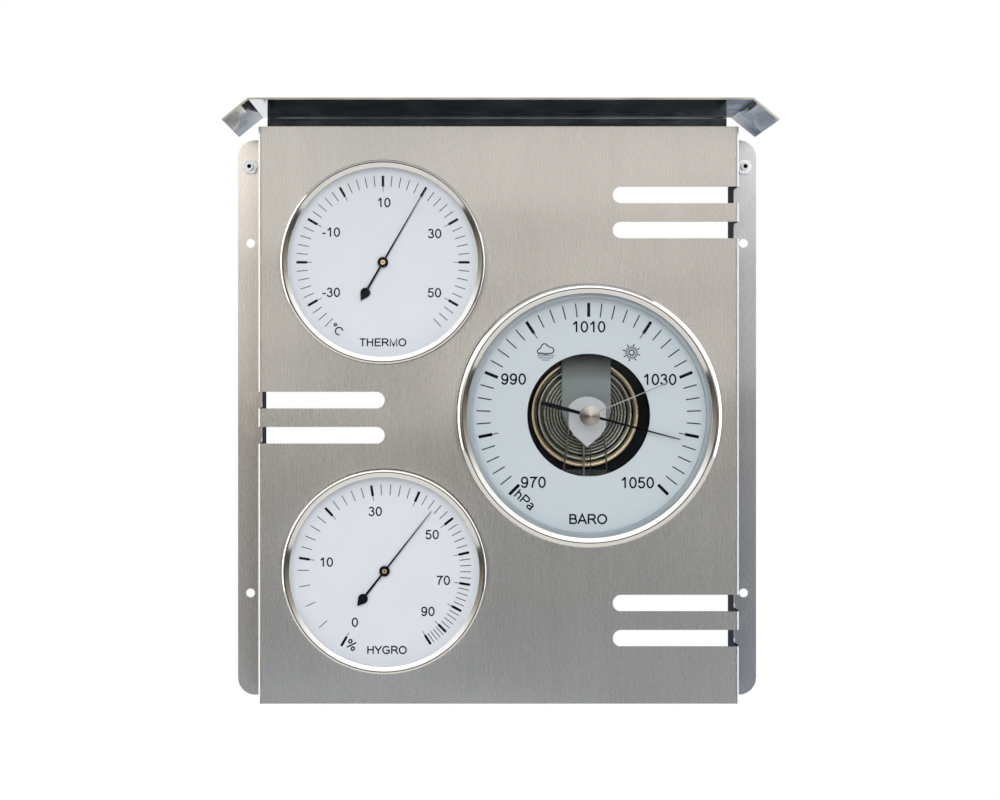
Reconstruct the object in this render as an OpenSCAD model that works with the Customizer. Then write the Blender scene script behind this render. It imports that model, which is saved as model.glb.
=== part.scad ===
// Outdoor weather station: a folded stainless housing with a roof hood that carries a
// thermometer, an aneroid barometer and a hair hygrometer.
// X runs to the right, Y runs into the wall and Z runs up. The origin is the middle of the
// four wall holes, on the wall side of the flanges.

/* [Housing] */
// Width of the front panel across the two side walls
body_w = 243; // [241:0.5:300]
// Height of the front panel
body_h = 291.5; // [288:0.5:340]
// Depth from the wall side of the flanges to the front face
body_depth = 35; // [35:0.5:60]
// Thickness of the stainless sheet
sheet_t = 1; // [0.8:0.1:1.4]
// Outer radius of the bends in the housing sheet
bend_r = 2; // [1.6:0.1:3]
// Width of each wall flange, measured from its side wall
flange_w = 13.9; // [13.4:0.1:20]
// Radius of the flanges' outer corners
flange_corner_r = 9; // [2:0.5:11]
// How far the top of the flanges lies below the top of the panel
flange_drop = 3.2; // [0:0.1:8]
// How far the foot of the flanges reaches below the panel
flange_foot = 1.6; // [0:0.1:6]

/* [Wall holes] */
// Diameter of the holes for the wall screws and the roof studs
wall_hole_d = 4.6; // [4.3:0.1:5]
// Distance of the holes from the outer edge of their flange
wall_hole_edge = 6.5; // [5.5:0.1:7]
// Height between the upper and the lower wall holes
wall_hole_rise = 182.8; // [150:0.1:220]
// How far the upper wall holes lie below the top of the panel
wall_hole_drop = 57.1; // [35:0.1:75]

/* [Slots] */
// Height of each slot
slot_h = 8.4; // [5:0.1:10]
// Distance between the two slots of a pair
slot_pitch = 17.75; // [15:0.05:20]
// Length of the slots across the panel, measured from its side
slot_len = 63.9; // [40:0.1:80]
// How far the slots run round into the side wall
slot_wall_run = 15; // [6:0.5:24]
// Radius of the slots' corners in the side wall
slot_wall_r = 2; // [0.5:0.5:2.4]
// Depth below the panel's top of the upper right pair
upper_pair_drop = 43.4; // [40:0.1:52]
// How far the middle left pair lies below the middle of the panel
middle_pair_low = 1.35; // [-5:0.05:5]
// Height of the lower right pair above the panel's foot
lower_pair_rise = 41.9; // [36:0.1:50]

/* [Roof hood] */
// How much wider than the panel the flat of the roof is, on each side
roof_side_over = 0.6; // [0:0.1:6]
// How far the roof reaches out in front of the panel
roof_over = 38; // [15:0.5:60]
// Height of the air gap between the panel and the roof
roof_gap = 8.6; // [5:0.1:20]
// Thickness of the roof's sheet
roof_t = 1; // [0.8:0.1:1.4]
// Inner radius of the roof's bends
roof_bend_r = 0.5; // [0.3:0.1:2]
// Length of each sloping wing
wing_len = 16; // [8:0.5:30]
// Slope of the wings below the level
wing_angle = 39; // [20:1:60]
// How far each end of the back plate is set in from the flat's end
back_relief = 1.95; // [1:0.05:5]
// Height of the back plate below the underside of the roof
back_h = 34; // [30:0.5:36]
// Height of the ears that reach behind the flanges
ear_h = 15.5; // [13:0.5:20]
// How far the ears stay inside the flanges' outer edges
ear_inset = 1.5; // [1:0.1:2]
// Radius of the ears' corners
ear_r = 3; // [1:0.5:4]
// How far the studs lie below the top of the panel
stud_drop = 17.4; // [15:0.1:19]
// Diameter of the stud's thread
stud_d = 4; // [3.5:0.1:4.2]
// Diameter of the stud's pressed-in foot
stud_foot_d = 5.4; // [5.2:0.1:6]
// How far the stud stands out in front of its flange
stud_out = 6.6; // [5:0.1:9]
// Width across the flats of the nut
nut_af = 7; // [6:0.1:8]
// Thickness of the nut
nut_h = 3.2; // [2:0.1:4]
// Width across the flats of the stud's socket
socket_af = 2; // [1.5:0.1:2.5]
// Depth of the stud's socket
socket_depth = 1.6; // [1:0.1:2]

/* [Dial places] */
// Distance of the thermometer's middle left of the panel's middle, as a share of the panel's width
thermo_share = 0.2403; // [0.236:0.0001:0.245]
// Depth of the thermometer's middle below the panel's top
thermo_drop = 68.7; // [66:0.1:70]
// Distance of the hygrometer's middle left of the panel's middle, as a share of the panel's width
hygro_share = 0.237; // [0.236:0.0001:0.245]
// Height of the hygrometer's middle above the panel's foot
hygro_rise = 67.2; // [64:0.1:68]
// Distance of the barometer's middle right of the panel's middle, as a share of the panel's width
baro_share = 0.1864; // [0.185:0.0001:0.19]

/* [Small instruments] */
// Outer diameter of the small bezels
small_bezel_d = 102.6; // [102.4:0.1:104]
// Width of the small bezels' rim, seen from the front
small_rim_w = 3.7; // [3.5:0.1:5]
// Thickness of the small bezels' upright wall
small_bezel_wall = 1.1; // [0.9:0.1:1.6]
// How far the small bezels stand out from the panel
small_bezel_h = 7; // [6.8:0.1:8]
// Depth of the small cases behind the panel's face
small_case_depth = 24; // [24:0.5:30]
// Height of the spacer between a small dial and its glass
small_spacer_h = 2; // [1.9:0.1:2.4]

/* [Barometer case] */
// Outer diameter of the barometer's bezel
baro_bezel_d = 132.6; // [132.4:0.1:134]
// Width of the barometer's bezel's rim, seen from the front
baro_rim_w = 5; // [4.5:0.1:6]
// Thickness of the barometer's bezel's upright wall
baro_bezel_wall = 1.6; // [1.2:0.1:2.2]
// How far the barometer's bezel stands out from the panel
baro_bezel_h = 9.6; // [9.5:0.1:11]
// Depth of the barometer's case behind the panel's face
baro_case_depth = 33; // [32.8:0.1:33.2]
// Height of the spacer between the barometer's dial and its glass
baro_spacer_h = 4.5; // [4.3:0.1:4.6]
// How far the spacer shows inside the barometer's bezel
baro_spacer_show = 2.1; // [1.5:0.1:5]
// Diameter of the window in the barometer's dial
window_d = 62; // [50:0.5:70]

/* [Case parts] */
// Thickness of the cases' walls
case_wall = 0.8; // [0.6:0.1:1]
// Width of the cases' lips
case_lip_w = 1.5; // [1.3:0.1:1.6]
// Height of the chamfer round the back of the cases
case_chamfer = 1.5; // [0.5:0.1:2]
// Thickness of the dials
dial_t = 0.6; // [0.4:0.1:0.7]
// Thickness of the glasses
glass_t = 2; // [1.8:0.1:2.2]
// Gap all round between the stacked discs and the bezel
stack_gap = 0.2; // [0.1:0.05:0.3]
// Gap all round between a case and the hole in the panel
panel_gap = 0.3; // [0.2:0.1:0.5]
// Gap all round between a case and its clamp ring
clamp_gap = 0.1; // [0.05:0.05:0.3]
// How far the clamp rings stay inside the outline of their bezels
clamp_inset = 0.2; // [0.1:0.1:0.6]
// Thickness of the clamp rings
clamp_t = 1.5; // [1:0.1:2]
// Length of the tongues that grip the case
tongue_len = 5; // [3:0.5:8]
// Width of those tongues
tongue_w = 8; // [5:0.5:12]
// Number of those tongues on a ring
tongue_count = 3; // [3:1:6]
// Rounding of the bezels' front edge, as a share of their upright wall
bezel_roll_share = 0.9; // [0.5:0.05:0.95]
// Distance of the bezels' groove from their outline, as a share of that rounding
groove_share = 1.4; // [1.2:0.1:1.8]
// Width of the bezels' groove
groove_w = 0.3; // [0.1:0.05:0.4]
// Depth of the bezels' groove
groove_depth = 0.25; // [0.1:0.05:0.3]
// Height of the bezels' inner edge above the glass
bezel_edge_h = 0.4; // [0.2:0.1:0.6]
// Overlap of a small spacer's opening over the rim of its bezel
spacer_step = 0.2; // [0.1:0.1:0.4]

/* [Small movements] */
// Diameter of the pointers' arbors
arbor_d = 1.6; // [1.4:0.1:1.8]
// Running gap all round between a turning shaft and its hole
run_gap = 0.05; // [0.03:0.01:0.08]
// Outer diameter of the bearing bushes
bush_d = 4; // [3.6:0.1:4.6]
// Diameter of the bushes' collars
bush_collar_d = 6; // [5.4:0.1:7]
// Thickness of the bushes' collars
bush_collar_h = 0.8; // [0.5:0.1:1.2]
// How far the bushes reach out behind their bridges
bush_tail = 0.8; // [0.4:0.1:1.2]
// Gap between two pieces that lie close together without a fit
air = 0.3; // [0.2:0.05:0.35]
// Depth of the bridges' front faces behind the panel's face
bridge_back = 4; // [3.6:0.1:5]
// Thickness of the movement bridges
bridge_t = 1.5; // [1.2:0.1:1.8]
// Width of the small movement bridges
bridge_w = 14; // [10:0.5:16]
// Gap between each end of a small bridge and the wall of its case
bridge_margin = 8.7; // [5:0.1:12]
// Length of the feet at the ends of the small bridges
bridge_foot = 6; // [4:0.5:8]
// How far the thermometer's pointer ends inside its bezel
thermo_pointer_short = 4.1; // [3:0.1:10]
// How far the hygrometer's pointer ends inside its bezel
hygro_pointer_short = 9.2; // [3:0.1:12]
// Width of the small pointers' needles at the middle
needle_w = 0.96; // [0.8:0.02:1.2]
// Width of the small pointers' needles at the tip
needle_tip_w = 0.28; // [0.2:0.02:0.4]
// Width of the small pointers' tails before the weight
tail_neck_w = 1.2; // [0.9:0.1:1.6]
// Distance of the round tail weight from the pointer's middle
tail_r = 17.7; // [14:0.1:20]
// Diameter of the round tail weight
tail_d = 5; // [4:0.1:6]
// Distance of the tail's tip from the pointer's middle
tail_tip_r = 22.4; // [22:0.1:25]
// Diameter of the small pointers' hubs
pointer_hub_d = 5.4; // [4.6:0.1:6]
// Diameter of the brass cap at the front of the small arbors
arbor_cap_d = 2.3; // [2.1:0.1:2.6]
// Height of the brass cap at the front of the small arbors
arbor_cap_h = 0.3; // [0.2:0.1:0.4]
// Thickness of the pointers
pointer_t = 0.4; // [0.3:0.1:0.5]
// Height of the small pointers above their dials
pointer_lift = 0.6; // [0.4:0.1:0.7]
// Angle of the thermometer's pointer, clockwise from the top
thermo_angle = 30; // [-138:1:138]
// Angle of the hygrometer's pointer, clockwise from the top
hygro_angle = 38; // [-150:1:147]
// Depth of the middle of the bimetal coil behind the panel's face
coil_back = 15.5; // [14:0.1:16.5]
// Width of the bimetal strip
coil_strip_w = 5; // [3:0.1:6]
// Thickness of the bimetal strip
coil_strip_t = 0.5; // [0.3:0.1:0.8]
// Outer radius of the bimetal coil
coil_r = 20; // [14:0.5:24]
// Number of turns in the bimetal coil
coil_turns = 6; // [4:1:8]
// Diameter of the collet that holds a coil's inner end
collet_d = 5; // [4:0.1:6]
// How far the collet stands out of the coil on each side
collet_over = 0.5; // [0.3:0.1:1]
// Diameter of the adjuster's stem in the back of the case
adjuster_d = 5; // [4:0.1:7]
// Diameter of the adjuster's slotted head
adjuster_head_d = 9; // [8:0.1:12]
// Thickness of the adjuster's slotted head
adjuster_head_h = 2; // [1.5:0.1:3]
// Thickness of the adjuster's plate inside the case
adjuster_plate_t = 1.2; // [0.8:0.1:1.6]
// Width of a screwdriver slot
driver_slot_w = 1.2; // [0.8:0.1:1.4]
// Diameter of the pins that hold a coil's outer end
coil_pin_d = 1.6; // [1.2:0.1:2]

/* [Hair movement] */
// Diameter of the drum that the hair pulls on
drum_d = 4.4; // [3.6:0.1:6]
// Depth of the middle of the drum behind the panel's face
drum_back = 10; // [9.6:0.1:11]
// Thickness of the drum
drum_h = 2.4; // [2:0.1:3]
// Thickness of the hair bundle
hair_d = 0.8; // [0.5:0.1:1.2]
// Length of the hair bundle
hair_len = 36; // [30:0.5:36]
// Outer radius of the hygrometer's return spring
hairspring_r = 9; // [6:0.1:10]
// Number of turns in the return spring
hairspring_turns = 4; // [3:1:6]
// Thickness of the flat springs' strip
spring_strip_t = 0.35; // [0.2:0.05:0.4]
// Width of the return spring's strip
spring_strip_w = 1; // [0.6:0.1:1.4]
// Gap between the drum and the return spring
spring_gap = 0.8; // [0.4:0.1:1.2]
// How far the spring's pin and the arbor reach past the return spring
spring_over = 0.5; // [0.3:0.1:0.8]
// Size of the hair clamp's block
hair_clamp_size = 5; // [4:0.5:6]
// Diameter of the hygrometer's adjusting screw
hair_screw_d = 3; // [2.5:0.1:3.4]
// Diameter of that screw's head
hair_screw_head_d = 6; // [5:0.1:7]
// Diameter of each vent in the hygrometer's back
vent_d = 3; // [2:0.5:4]
// Radius of the ring of vents
vent_ring_r = 20; // [16:1:24]
// Number of vents
vent_count = 8; // [4:1:12]

/* [Barometer movement] */
// Gap all round between the base plate and the wall of the case
plate_gap = 4.2; // [3:0.1:5]
// Thickness of the movement's base plate
base_plate_t = 2; // [1.5:0.1:2.2]
// Outer diameter of the corrugated capsule
capsule_d = 55.2; // [40:0.1:56]
// Thickness of the capsule between its two skins
capsule_h = 4; // [3:0.1:4.4]
// Diameter of the capsule's hubs
capsule_hub_d = 10; // [8:0.5:12]
// Height of each hub, measured from the skin
capsule_hub_h = 1.3; // [1:0.1:1.6]
// Depth of the fine waves in the capsule's skin
fine_wave = 0.5; // [0.2:0.05:0.7]
// Number of fine waves between the hub and the coarse waves
fine_count = 6; // [3:1:8]
// Depth of the coarse waves in the capsule's skin
coarse_wave = 1; // [0.4:0.1:1.2]
// Number of coarse waves, between the fine waves and the rim
coarse_count = 2; // [1:1:3]
// Radius where the coarse waves begin
coarse_r = 18.5; // [12:0.1:19]
// Diameter of the capsule's stud
capsule_stud_d = 3.5; // [3:0.1:5]
// How deep the stud sits in the capsule's hub
stud_seat = 1; // [0.6:0.1:1.2]
// Width of the grey bridge in front of the capsule
main_bridge_w = 24.8; // [24:0.1:28]
// Depth of the bridge's front face behind the panel's face
main_bridge_back = 13.5; // [13.3:0.1:13.7]
// Distance of the bridge's leg from the base plate's edge
main_leg_inset = 12; // [11.5:0.1:18]
// Distance from the middle down to the bridge's end
main_bridge_down = 6.2; // [5:0.1:7]
// Height above the middle where the bridge begins to taper
main_bridge_taper = 0.7; // [0:0.1:3]
// Width of the bridge at its lower end
main_bridge_end_w = 19; // [17:0.1:20]
// Length of the bridge's foot on the base plate
main_foot = 8; // [6:0.5:8]
// Diameter of the bridge's fixing screws
bridge_screw_d = 3; // [2:0.1:3.4]
// Width of the silver shield in front of the bridge
shield_w = 18.9; // [17:0.1:20]
// Thickness of the shield
shield_t = 0.8; // [0.5:0.1:1]
// Depth of the shield's front face behind the panel's face
shield_back = 7.7; // [7.5:0.1:7.9]
// Height of the shield's top above the middle
shield_up = 9.1; // [8:0.1:10]
// Height where the shield's round top meets its sides
shield_shoulder = 4.4; // [3:0.1:5]
// Depth where the shield's sides begin to taper
shield_taper = 6.3; // [5:0.1:7]
// Width of the shield at the knees of its foot, as a share of its full width
shield_knee_w = 0.72; // [0.5:0.01:0.9]
// Place of those knees between the taper and the tip, as a share of that length
shield_knee_low = 0.42; // [0.3:0.01:0.6]
// Depth of the shield's lower tip below the middle
shield_down = 16.5; // [14:0.1:18]
// Diameter of the posts between the bridge and the shield
shield_post_d = 2.4; // [1.6:0.1:2.6]
// Sideways distance between the two shield posts
shield_post_span = 15; // [14:0.1:15.6]
// Height of the main lever's pivot above the middle
lever_up = 18; // [14:0.1:24]
// Width of the main lever
lever_w = 8; // [6:0.1:10]
// Thickness of the main lever
lever_t = 1; // [0.8:0.1:1.2]
// Depth of the middle of the main lever behind the panel's face
lever_back = 17.6; // [17.5:0.05:17.8]
// Diameter of the lever's pivot pin
lever_pin_d = 1.5; // [1.2:0.1:1.8]
// Thickness of the two ears that hold the lever's pin
lever_ear_t = 1.2; // [0.8:0.1:2]
// Metal left round the pin's holes in those ears
lever_ear_rim = 1.5; // [1:0.1:2]
// Height above the middle where the lever's plate ends
lever_plate_low = 2; // [0:0.1:6]
// Width of the lever's neck at the thin rod
lever_neck_w = 1.6; // [1.2:0.1:2]
// Sideways place of the lever's thin rod
lever_rod_x = -1.1; // [-2:0.1:0]
// Diameter of the lever's thin rod
lever_rod_d = 0.9; // [0.7:0.1:1]
// Depth of the rocking shaft below the middle
rocker_down = 33; // [32:0.1:34]
// Depth of the rocking shaft behind the panel's face
rocker_back = 20; // [19.9:0.05:20.1]
// Diameter of the rocking shaft
rocker_d = 2; // [1.6:0.1:2.4]
// Distance between the two ears of the rocking shaft's frame
rocker_span = 23; // [21:0.5:26]
// Thickness of the ears of that frame
rocker_ear_t = 1.2; // [1:0.1:2]
// Height of those ears along the movement
rocker_ear_w = 7; // [5:0.1:8]
// Thickness of the strip between those ears
rocker_floor_t = 1; // [0.8:0.1:1.5]
// Metal left above the rocking shaft in those ears
rocker_ear_rim = 1.4; // [1:0.1:2]
// Length of the rocking shaft's chain arm
rocker_arm = 10; // [9.6:0.1:10.2]
// Lean of the chain arm away from the middle
rocker_lean = 10; // [4:0.5:12]
// How far the finger's pin lies below the shaft
finger_down = 2.5; // [2.2:0.1:2.8]
// Gap between the thin rod and the finger's pin
finger_gap = 0.4; // [0.35:0.01:0.5]
// Sideways distance of the finger from the thin rod
finger_side = 2.2; // [1.6:0.1:3]
// How far the finger's pin reaches past the middle of the thin rod
finger_past = 1; // [0.6:0.1:1.5]
// Diameter of the finger and of its pin
finger_d = 0.8; // [0.6:0.1:1]
// Diameter of the chain drum on the pointer's arbor
chain_drum_d = 2.6; // [2.2:0.1:3]
// Gap between the chain drum and its neighbours
drum_gap = 0.45; // [0.3:0.05:0.6]
// Thickness of the chain
chain_d = 0.5; // [0.4:0.1:0.7]
// Radius of the barometer's hairspring
baro_spring_r = 6; // [5:0.1:6.4]
// Width of the hairspring's strip
baro_strip_w = 0.6; // [0.4:0.1:0.8]
// Gap between the bush and the hairspring
baro_spring_gap = 0.4; // [0.3:0.1:0.6]
// Diameter of the two side wires
side_wire_d = 0.7; // [0.5:0.1:1]
// How far the barometer's pointer ends inside the spacer
baro_pointer_short = 11.7; // [4:0.1:20]
// Width of that pointer's needle at the middle
baro_needle_w = 1.5; // [1.2:0.1:2]
// Width of that pointer's needle at the tip
baro_needle_tip_w = 0.5; // [0.3:0.1:0.8]
// Height of that pointer above the dial
baro_pointer_lift = 1.5; // [1:0.1:1.8]
// Reach of that pointer's tail
baro_tail_r = 25; // [15:0.5:30]
// Width of that pointer's tail at its end
baro_tail_w = 2.3; // [1.5:0.1:3]
// Angle of the barometer's pointer, clockwise from the top
baro_angle = 104.8; // [-135:0.1:135]
// How far the marker hand ends inside the spacer
marker_short = 16.2; // [4:0.1:25]
// Gap between the marker hand and the glass
marker_gap = 0.6; // [0.4:0.1:0.8]
// Width of the ring that holds the marker hand
marker_ring_w = 1.2; // [0.9:0.1:2]
// Width of the marker hand
marker_w = 0.5; // [0.4:0.1:1]
// Angle of the marker hand, clockwise from the top
marker_angle = 67.4; // [-180:0.1:180]
// Diameter of the marker's spindle in the glass
spindle_d = 3; // [2.4:0.1:4]
// Diameter of the marker's knob
knob_d = 10.2; // [8:0.1:14]
// Height of the knob's straight side
knob_side = 2.4; // [1:0.1:4]
// Height of the knob's cone
knob_cone = 2.2; // [0.5:0.1:4]
// Diameter of the flat at the tip of the cone
knob_tip_d = 0.4; // [0.2:0.1:1]
// Diameter of the barometer's adjusting screw
baro_screw_d = 4; // [3:0.1:5]
// How far that screw stands out of the back of the case
baro_screw_out = 1.2; // [1:0.1:2]
// Diameter of the screws that hold the base plate
case_screw_d = 3; // [2:0.1:3.6]
// Distance of those screws from the base plate's edge
case_screw_inset = 8; // [6:0.5:12]
// Width of the screws' heads, as a share of their thread
screw_head_share = 1.8; // [1.6:0.1:2]
// Height of the screws' heads
screw_head_h = 1.5; // [1.2:0.1:2]
// Depth of the slots in the screws
screw_slot_depth = 0.8; // [0.5:0.1:1]

/* [Hidden] */
$fn = 64;
eps = 0.5;
segs = 6;

panel_top_z = wall_hole_rise / 2 + wall_hole_drop;
panel_bottom_z = panel_top_z - body_h;
panel_y = -body_depth;
bend_in = bend_r - sheet_t;
wall_hole_x = body_w / 2 + flange_w - wall_hole_edge;
flange_top_z = panel_top_z - flange_drop;
flange_bottom_z = panel_bottom_z - flange_foot;
stud_z = panel_top_z - stud_drop;
slot_inner_x = body_w / 2 - slot_len;
thermo_x = -thermo_share * body_w;
hygro_x = -hygro_share * body_w;
baro_x = baro_share * body_w;

roof_w = body_w + 2 * roof_side_over;
roof_z = panel_top_z + roof_gap;
roof_front_y = panel_y - roof_over;
back_w = roof_w - 2 * back_relief;
back_low_z = roof_z - back_h;
ear_x = body_w / 2 + flange_w - ear_inset;

small_bezel_r = small_bezel_d / 2;
baro_bezel_r = baro_bezel_d / 2;
small_view_r = small_bezel_r - small_rim_w;
baro_view_r = baro_bezel_r - baro_rim_w;
baro_spacer_r = baro_view_r - baro_spacer_show;
small_lip_r = small_bezel_r - small_bezel_wall - stack_gap;
baro_lip_r = baro_bezel_r - baro_bezel_wall - stack_gap;
small_case_r = small_lip_r - case_lip_w;
baro_case_r = baro_lip_r - case_lip_w;
dial_low = case_wall;
dial_top = dial_low + dial_t;
small_glass_low = dial_top + small_spacer_h;
baro_glass_low = dial_top + baro_spacer_h;
small_stack_top = small_glass_low + glass_t;
baro_stack_top = baro_glass_low + glass_t;
small_back_in = -small_case_depth + case_wall;
baro_back_in = -baro_case_depth + case_wall;

bore_d = arbor_d + 2 * run_gap;
bridge_front = -bridge_back;
bridge_rear = -bridge_back - bridge_t;
bridge_len = 2 * (small_case_r - case_wall - bridge_margin);
pointer_low = dial_top + pointer_lift;
pointer_high = pointer_low + 2 * pointer_t;
coil_low = -coil_back - coil_strip_w / 2;
coil_high = -coil_back + coil_strip_w / 2;
drum_high = -drum_back + drum_h / 2;
drum_low = -drum_back - drum_h / 2;
hair_x = -(drum_d / 2 + air + hair_d / 2);
hairspring_high = drum_low - spring_gap;
hairspring_low = hairspring_high - spring_strip_w;
hair_clamp_high = -drum_back + hair_clamp_size / 2;

plate_top = baro_back_in + base_plate_t;
base_plate_r = baro_case_r - case_wall - plate_gap;
main_bridge_up = base_plate_r - main_leg_inset;
case_screw_ring_r = base_plate_r - case_screw_inset;
case_screw_angles = [30, 150, 270];
capsule_low = plate_top + capsule_hub_h;
capsule_high = capsule_low + capsule_h;
capsule_hub_top = capsule_high + capsule_hub_h;
capsule_r = capsule_d / 2;
capsule_hub_r = capsule_hub_d / 2;
main_bridge_front = -main_bridge_back;
main_bridge_rear = main_bridge_front - bridge_t;
shield_front = -shield_back;
shield_rear = shield_front - shield_t;
lever_low = -lever_back - lever_t / 2;
rocker_h = -rocker_back;
finger_up = rocker_back - lever_back + lever_rod_d / 2 + finger_gap + finger_d / 2;
rocker_ear_high = rocker_h + rocker_d / 2 + rocker_ear_rim;
baro_spring_low = main_bridge_front + bush_collar_h + baro_spring_gap;
baro_spring_high = baro_spring_low + baro_strip_w;
chain_drum_low = baro_spring_high + drum_gap;
chain_drum_high = shield_rear - drum_gap;
chain_h = (chain_drum_low + chain_drum_high) / 2;
baro_pointer_low = dial_top + baro_pointer_lift;
marker_high = baro_glass_low - marker_gap;
marker_low = marker_high - pointer_t;
foot_y = main_bridge_up + bridge_t;

steel = [0.74, 0.73, 0.71];
polished = [0.82, 0.83, 0.85];
dial_white = [0.88, 0.91, 0.94];
brass = [0.72, 0.58, 0.32];
dark = [0.09, 0.1, 0.12];
case_grey = [0.32, 0.33, 0.35];
plate_grey = [0.5, 0.52, 0.53];
clear = [0.8, 0.9, 0.95, 0.3];

// Points of an arc about a centre, from one angle to another
function arc(centre, r, from, to, n = segs) = [
    for (i = [0:n])
        let (a = from + (to - from) * i / n)
        centre + r * [cos(a), sin(a)]
];

// Points of a flat spiral strip that grows from r0 to r1, with n pieces in each turn
function spiral_side(r0, r1, turns, n, shift) = [
    for (i = [0:turns * n])
        let (a = 360 * i / n, r = r0 + (r1 - r0) * i / (turns * n) + shift)
        r * [cos(a), sin(a)]
];

function reversed(list) = [for (i = [len(list) - 1:-1:0]) list[i]];

// Depth of the capsule's waves at a radius: fine ones first, then coarse ones
function capsule_wave(r) = r < coarse_r
    ? -fine_wave * (1 - cos(360 * fine_count * (r - capsule_hub_r) / (coarse_r - capsule_hub_r))) / 2
    : -coarse_wave * (1 - cos(360 * coarse_count * (r - coarse_r) / (capsule_r - coarse_r))) / 2;

// Places its children on a dial's axis: local Z points at the viewer, zero is the panel's face
module on_dial(x, z) {
    translate([x, panel_y, z]) rotate([90, 0, 0]) children();
}

module on_thermo() {
    on_dial(thermo_x, panel_top_z - thermo_drop) children();
}

module on_hygro() {
    on_dial(hygro_x, panel_bottom_z + hygro_rise) children();
}

module on_baro() {
    on_dial(baro_x, (panel_top_z + panel_bottom_z) / 2) children();
}

// A flat ring or disc between two heights
module ring(r_out, r_in, low, high) {
    translate([0, 0, low]) linear_extrude(high - low) difference() {
        circle(r_out);
        circle(r_in);
    }
}

// A disc or straight shaft between two heights
module shaft(d, low, high) {
    translate([0, 0, low]) cylinder(d = d, h = high - low);
}

// A round rod between two points
module rod(from, to, d) {
    reach = to - from;
    flat = norm([reach.x, reach.y]);
    translate(from)
        rotate([0, atan2(flat, reach.z), atan2(reach.y, reach.x)])
            cylinder(d = d, h = norm(reach));
}

// A quarter of a flat ring, in the quadrant given by the two signs
module bend_quarter(r_in, r_out, side_x, side_y) {
    intersection() {
        difference() {
            circle(r_out);
            circle(r_in);
        }
        translate([side_x > 0 ? 0 : -r_out, side_y > 0 ? 0 : -r_out]) square(r_out);
    }
}

// Section of the panel, its front bends and its side walls, seen from above
module panel_section() {
    translate([-body_w / 2 + bend_r, panel_y]) square([body_w - 2 * bend_r, sheet_t]);
    for (side = [-1, 1]) {
        translate([side * (body_w / 2 - bend_r), panel_y + bend_r])
            bend_quarter(bend_in, bend_r, side, -1);
        translate([side > 0 ? body_w / 2 - sheet_t : -body_w / 2, panel_y + bend_r])
            square([sheet_t, body_depth - 2 * bend_r]);
    }
}

// Section of the rear bend that turns a side wall into its flange
module flange_bend_section(side) {
    translate([side * (body_w / 2 + bend_in), -bend_r]) bend_quarter(bend_in, bend_r, -side, 1);
}

// Outline of a flange with its two outer corners rounded, in X and Z
module flange_outline(side) {
    inner_x = body_w / 2 + bend_in;
    outer_x = body_w / 2 + flange_w;
    low = flange_bottom_z;
    high = flange_top_z;
    r = flange_corner_r;
    points = concat(
        [[inner_x, high], [inner_x, low]],
        arc([outer_x - r, low + r], r, -90, 0),
        arc([outer_x - r, high - r], r, 0, 90)
    );
    scale([side, 1]) polygon(points);
}

// One slot, cut through the front and round into the side wall
module slot_cut(side, z) {
    edge_x = body_w / 2;
    r = slot_h / 2;
    mirror([side > 0 ? 0 : 1, 0, 0]) {
        translate([0, panel_y - eps, z]) rotate([-90, 0, 0]) linear_extrude(bend_r + 2 * eps) {
            translate([slot_inner_x + r, 0]) circle(r);
            translate([slot_inner_x + r, -r]) square([edge_x - slot_inner_x - r + eps, slot_h]);
        }
        translate([edge_x - bend_r - eps, panel_y - eps, z - r])
            cube([bend_r + 2 * eps, slot_wall_run - slot_wall_r + eps, slot_h]);
        translate([edge_x - bend_r - eps, panel_y, z - r + slot_wall_r])
            cube([bend_r + 2 * eps, slot_wall_run, slot_h - 2 * slot_wall_r]);
        for (up = [-1, 1])
            translate([edge_x - bend_r - eps, panel_y + slot_wall_run - slot_wall_r,
                    z + up * (r - slot_wall_r)])
                rotate([0, 90, 0]) cylinder(r = slot_wall_r, h = bend_r + 2 * eps);
    }
}

// A pair of slots about a height
module slot_pair(side, z) {
    for (up = [-1, 1])
        slot_cut(side, z + up * slot_pitch / 2);
}

// A round hole along Y through a flange or an ear
module hole_along_y(d, x, z, from_y, to_y) {
    translate([x, from_y, z]) rotate([-90, 0, 0]) cylinder(d = d, h = to_y - from_y);
}

// The hole in the panel for a case
module case_hole(case_r) {
    translate([0, 0, -sheet_t - eps]) cylinder(r = case_r + panel_gap, h = sheet_t + 2 * eps, $fn = 96);
}

module front_housing() {
    color(steel) difference() {
        union() {
            translate([0, 0, panel_bottom_z]) linear_extrude(body_h) panel_section();
            for (side = [-1, 1]) {
                translate([0, 0, flange_bottom_z])
                    linear_extrude(flange_top_z - flange_bottom_z) flange_bend_section(side);
                rotate([90, 0, 0]) linear_extrude(sheet_t) flange_outline(side);
            }
        }
        slot_pair(1, panel_top_z - upper_pair_drop);
        slot_pair(-1, (panel_top_z + panel_bottom_z) / 2 - middle_pair_low);
        slot_pair(1, panel_bottom_z + lower_pair_rise);
        for (side = [-1, 1], z = [-wall_hole_rise / 2, wall_hole_rise / 2, stud_z])
            hole_along_y(wall_hole_d, side * wall_hole_x, z, -sheet_t - eps, eps);
        on_thermo() case_hole(small_case_r);
        on_hygro() case_hole(small_case_r);
        on_baro() case_hole(baro_case_r);
    }
}

// Section of the roof's flat and its two wings, with zero at the underside
module roof_section() {
    centre = [roof_w / 2, -roof_bend_r];
    slope = [cos(wing_angle), -sin(wing_angle)];
    upper = arc(centre, roof_bend_r + roof_t, 90, 90 - wing_angle);
    lower = arc(centre, roof_bend_r, 90 - wing_angle, 90);
    right = concat(
        upper,
        [upper[segs] + wing_len * slope, lower[0] + wing_len * slope],
        lower
    );
    left = [for (p = reversed(right)) [-p.x, p.y]];
    polygon(concat(right, left));
}

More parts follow.
